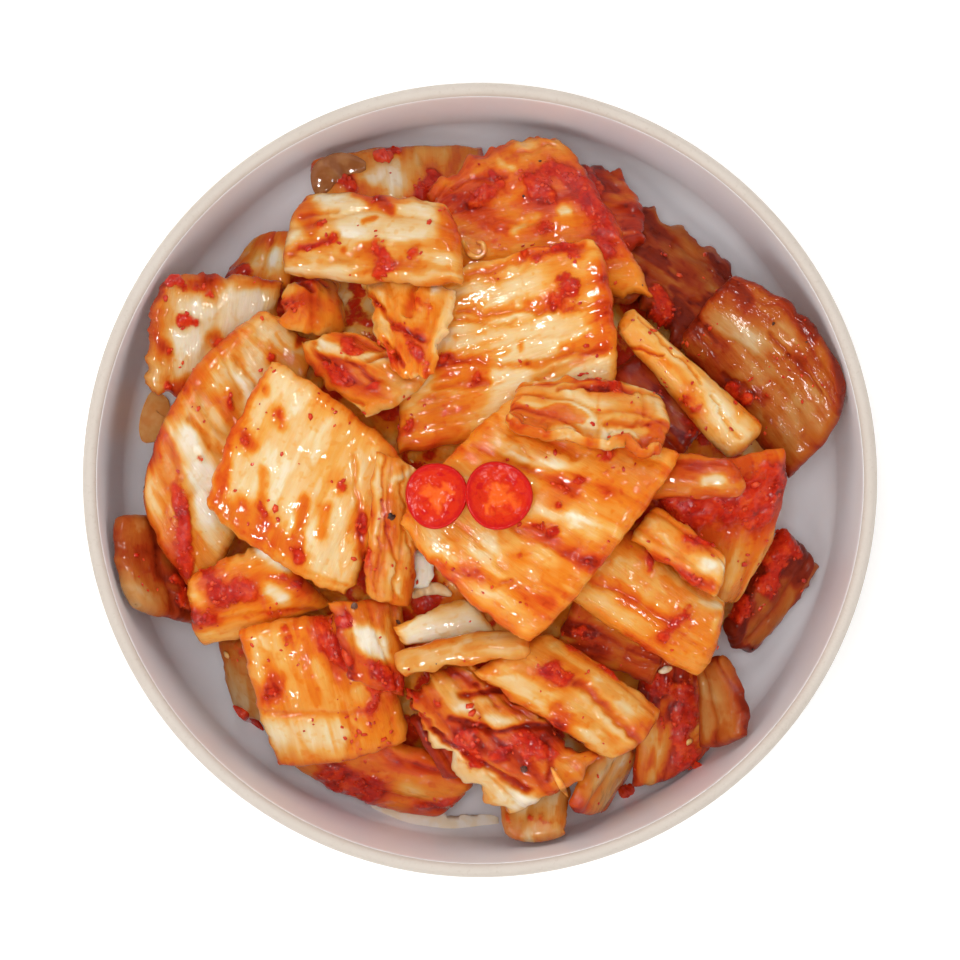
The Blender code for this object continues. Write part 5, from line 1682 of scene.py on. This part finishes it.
STRANDS: Tuple[Strand, ...] = (
    Strand("juice_back", "stalk_back", ((0.05, 0.24), (0.08, 0.54), (0.17, 0.68), (0.32, 0.68)), 6.0, 1.5,
           "brown", Slot.SAUCE, rough=0.05, tuck=0.8),
    Strand("juice_left", "cut_left_ribbed", ((-0.02, 0.55), (-0.035, 0.61), (0.0, 0.67), (0.09, 0.68)),
           8.5, 2.0, "amber", Slot.SAUCE, rough=0.05, tuck=0.8),
    Strand("juice_floor", "cut_bottom_left", ((0.43, 0.04), (0.64, -0.13), (0.87, -0.19), (1.14, -0.13)),
           7.5, 0.3, "thin", Slot.SAUCE, rough=0.6),
    Strand("cabbage_crescent", "cut_edge_back", ((0.18, 1.05), (0.29, 1.24), (0.43, 1.26), (0.56, 1.1)),
           2.6, 1.6, "tan", Slot.PALE, rough=0.03, tuck=0.6),
    Strand("cabbage_tendril", "cut_top_orange", ((0.16, 0.34), (0.18, 0.27), (0.22, 0.24), (0.26, 0.27),
           (0.25, 0.33), (0.22, 0.34)), 1.2, 1.1, "orange", Slot.AMBER, taper=0.3),
    Strand("cabbage_needle", "cut_bottom_amber", ((0.72, 0.89), (0.84, 0.72), (0.97, 0.52)), 1.3, 1.2,
           "orange", Slot.AMBER, taper=0.6),
    Strand("cabbage_spike", "cut_lower_left_scrap", ((0.13, 0.18), (0.30, 0.07), (0.52, -0.12)), 2.0, 1.5,
           "red", Slot.RED, taper=0.7),
    Strand("cabbage_bit_pale", "cut_lower_right_dark", ((0.30, 0.81), (0.47, 0.84)), 1.5, 1.2, "white",
           Slot.PALE),
    Strand("paste_drop_right", "cut_lower_right_dark", ((0.74, 0.11), (0.86, 0.15)), 2.6, 1.5, "red",
           Slot.SAUCE, rough=0.4),
    Strand("paste_drop_low", "cut_under_low_right", ((0.58, -1.32), (0.70, -1.21)), 3.2, 1.8, "red",
           Slot.SAUCE, rough=0.4),
    Strand("paste_crust", "stalk_back", ((0.36, 0.88), (0.42, 0.82), (0.48, 0.83)), 3.0, 2.0, "red",
           Slot.SAUCE, rough=0.4),
    Strand("speck_left", "cut_white_large", ((0.930, 0.350), (0.955, 0.325)), 1.5, 0.8,
           "black", Slot.SAUCE, rough=0.6),
    Strand("speck_low", "cut_white_large", ((0.735, -0.040), (0.765, -0.055)), 1.4, 0.8,
           "black", Slot.SAUCE, rough=0.6),
    Strand("speck_middle", "cut_edge_front", ((0.02, 1.16), (0.04, 1.21)), 1.2, 0.8, "black", Slot.SAUCE),
    Strand("speck_fold", "cut_low_folded", ((0.63, 0.27), (0.65, 0.31)), 1.5, 0.8,
           "black", Slot.SAUCE, rough=0.6),
    Strand("paste_corner", "cut_left_square", ((0.18, 0.90), (0.25, 0.95), (0.32, 0.91)), 2.4, 1.6, "red",
           Slot.SAUCE, rough=0.4),
)


def main() -> None:
    """Build every piece, then the studio."""
    logging.basicConfig(level=logging.INFO, format="%(name)s: %(message)s")
    Studio().make()
    Bowl().make()
    relief = Relief()
    wet = CabbageFinish().material()
    dull = CabbageFinish("cabbage_soaked", 0.5, 0.12).material()
    relief.add(UnderHeap().make(dull), 0)
    for number, cut in enumerate(CUTS, start=1):
        relief.add(cut.make(dull if cut.soak > 0.6 else wet), number)
    chilli = ChilliFinish().material()
    for piece in SLICES:
        piece.make(chilli)
    finishes = {one.name: one.material() for one in (
        WetFinish("brown", (0.40, 0.17, 0.06), (0.30, 0.10, 0.03), 0.12, 0.5),
        WetFinish("amber", (0.96, 0.46, 0.14), (0.90, 0.34, 0.08), 0.12, 0.5),
        WetFinish("thin", (0.94, 0.86, 0.74), (0.92, 0.78, 0.56), 0.12, 0.5),
        WetFinish("white", (0.92, 0.78, 0.56), (0.90, 0.58, 0.26)),
        WetFinish("tan", (0.92, 0.68, 0.38), (0.88, 0.50, 0.18)),
        WetFinish("black", (0.16, 0.060, 0.03), (0.03, 0.014, 0.01)),
        WetFinish("orange", (0.90, 0.42, 0.07), (0.85, 0.22, 0.02)),
        WetFinish("red", (0.74, 0.050, 0.008), (0.52, 0.018, 0.004), 0.25, 0.9))}
    for strand in STRANDS:
        strand.make(relief, finishes[strand.finish])
    Sauce().make(relief)


if __name__ == "__main__":
    main()
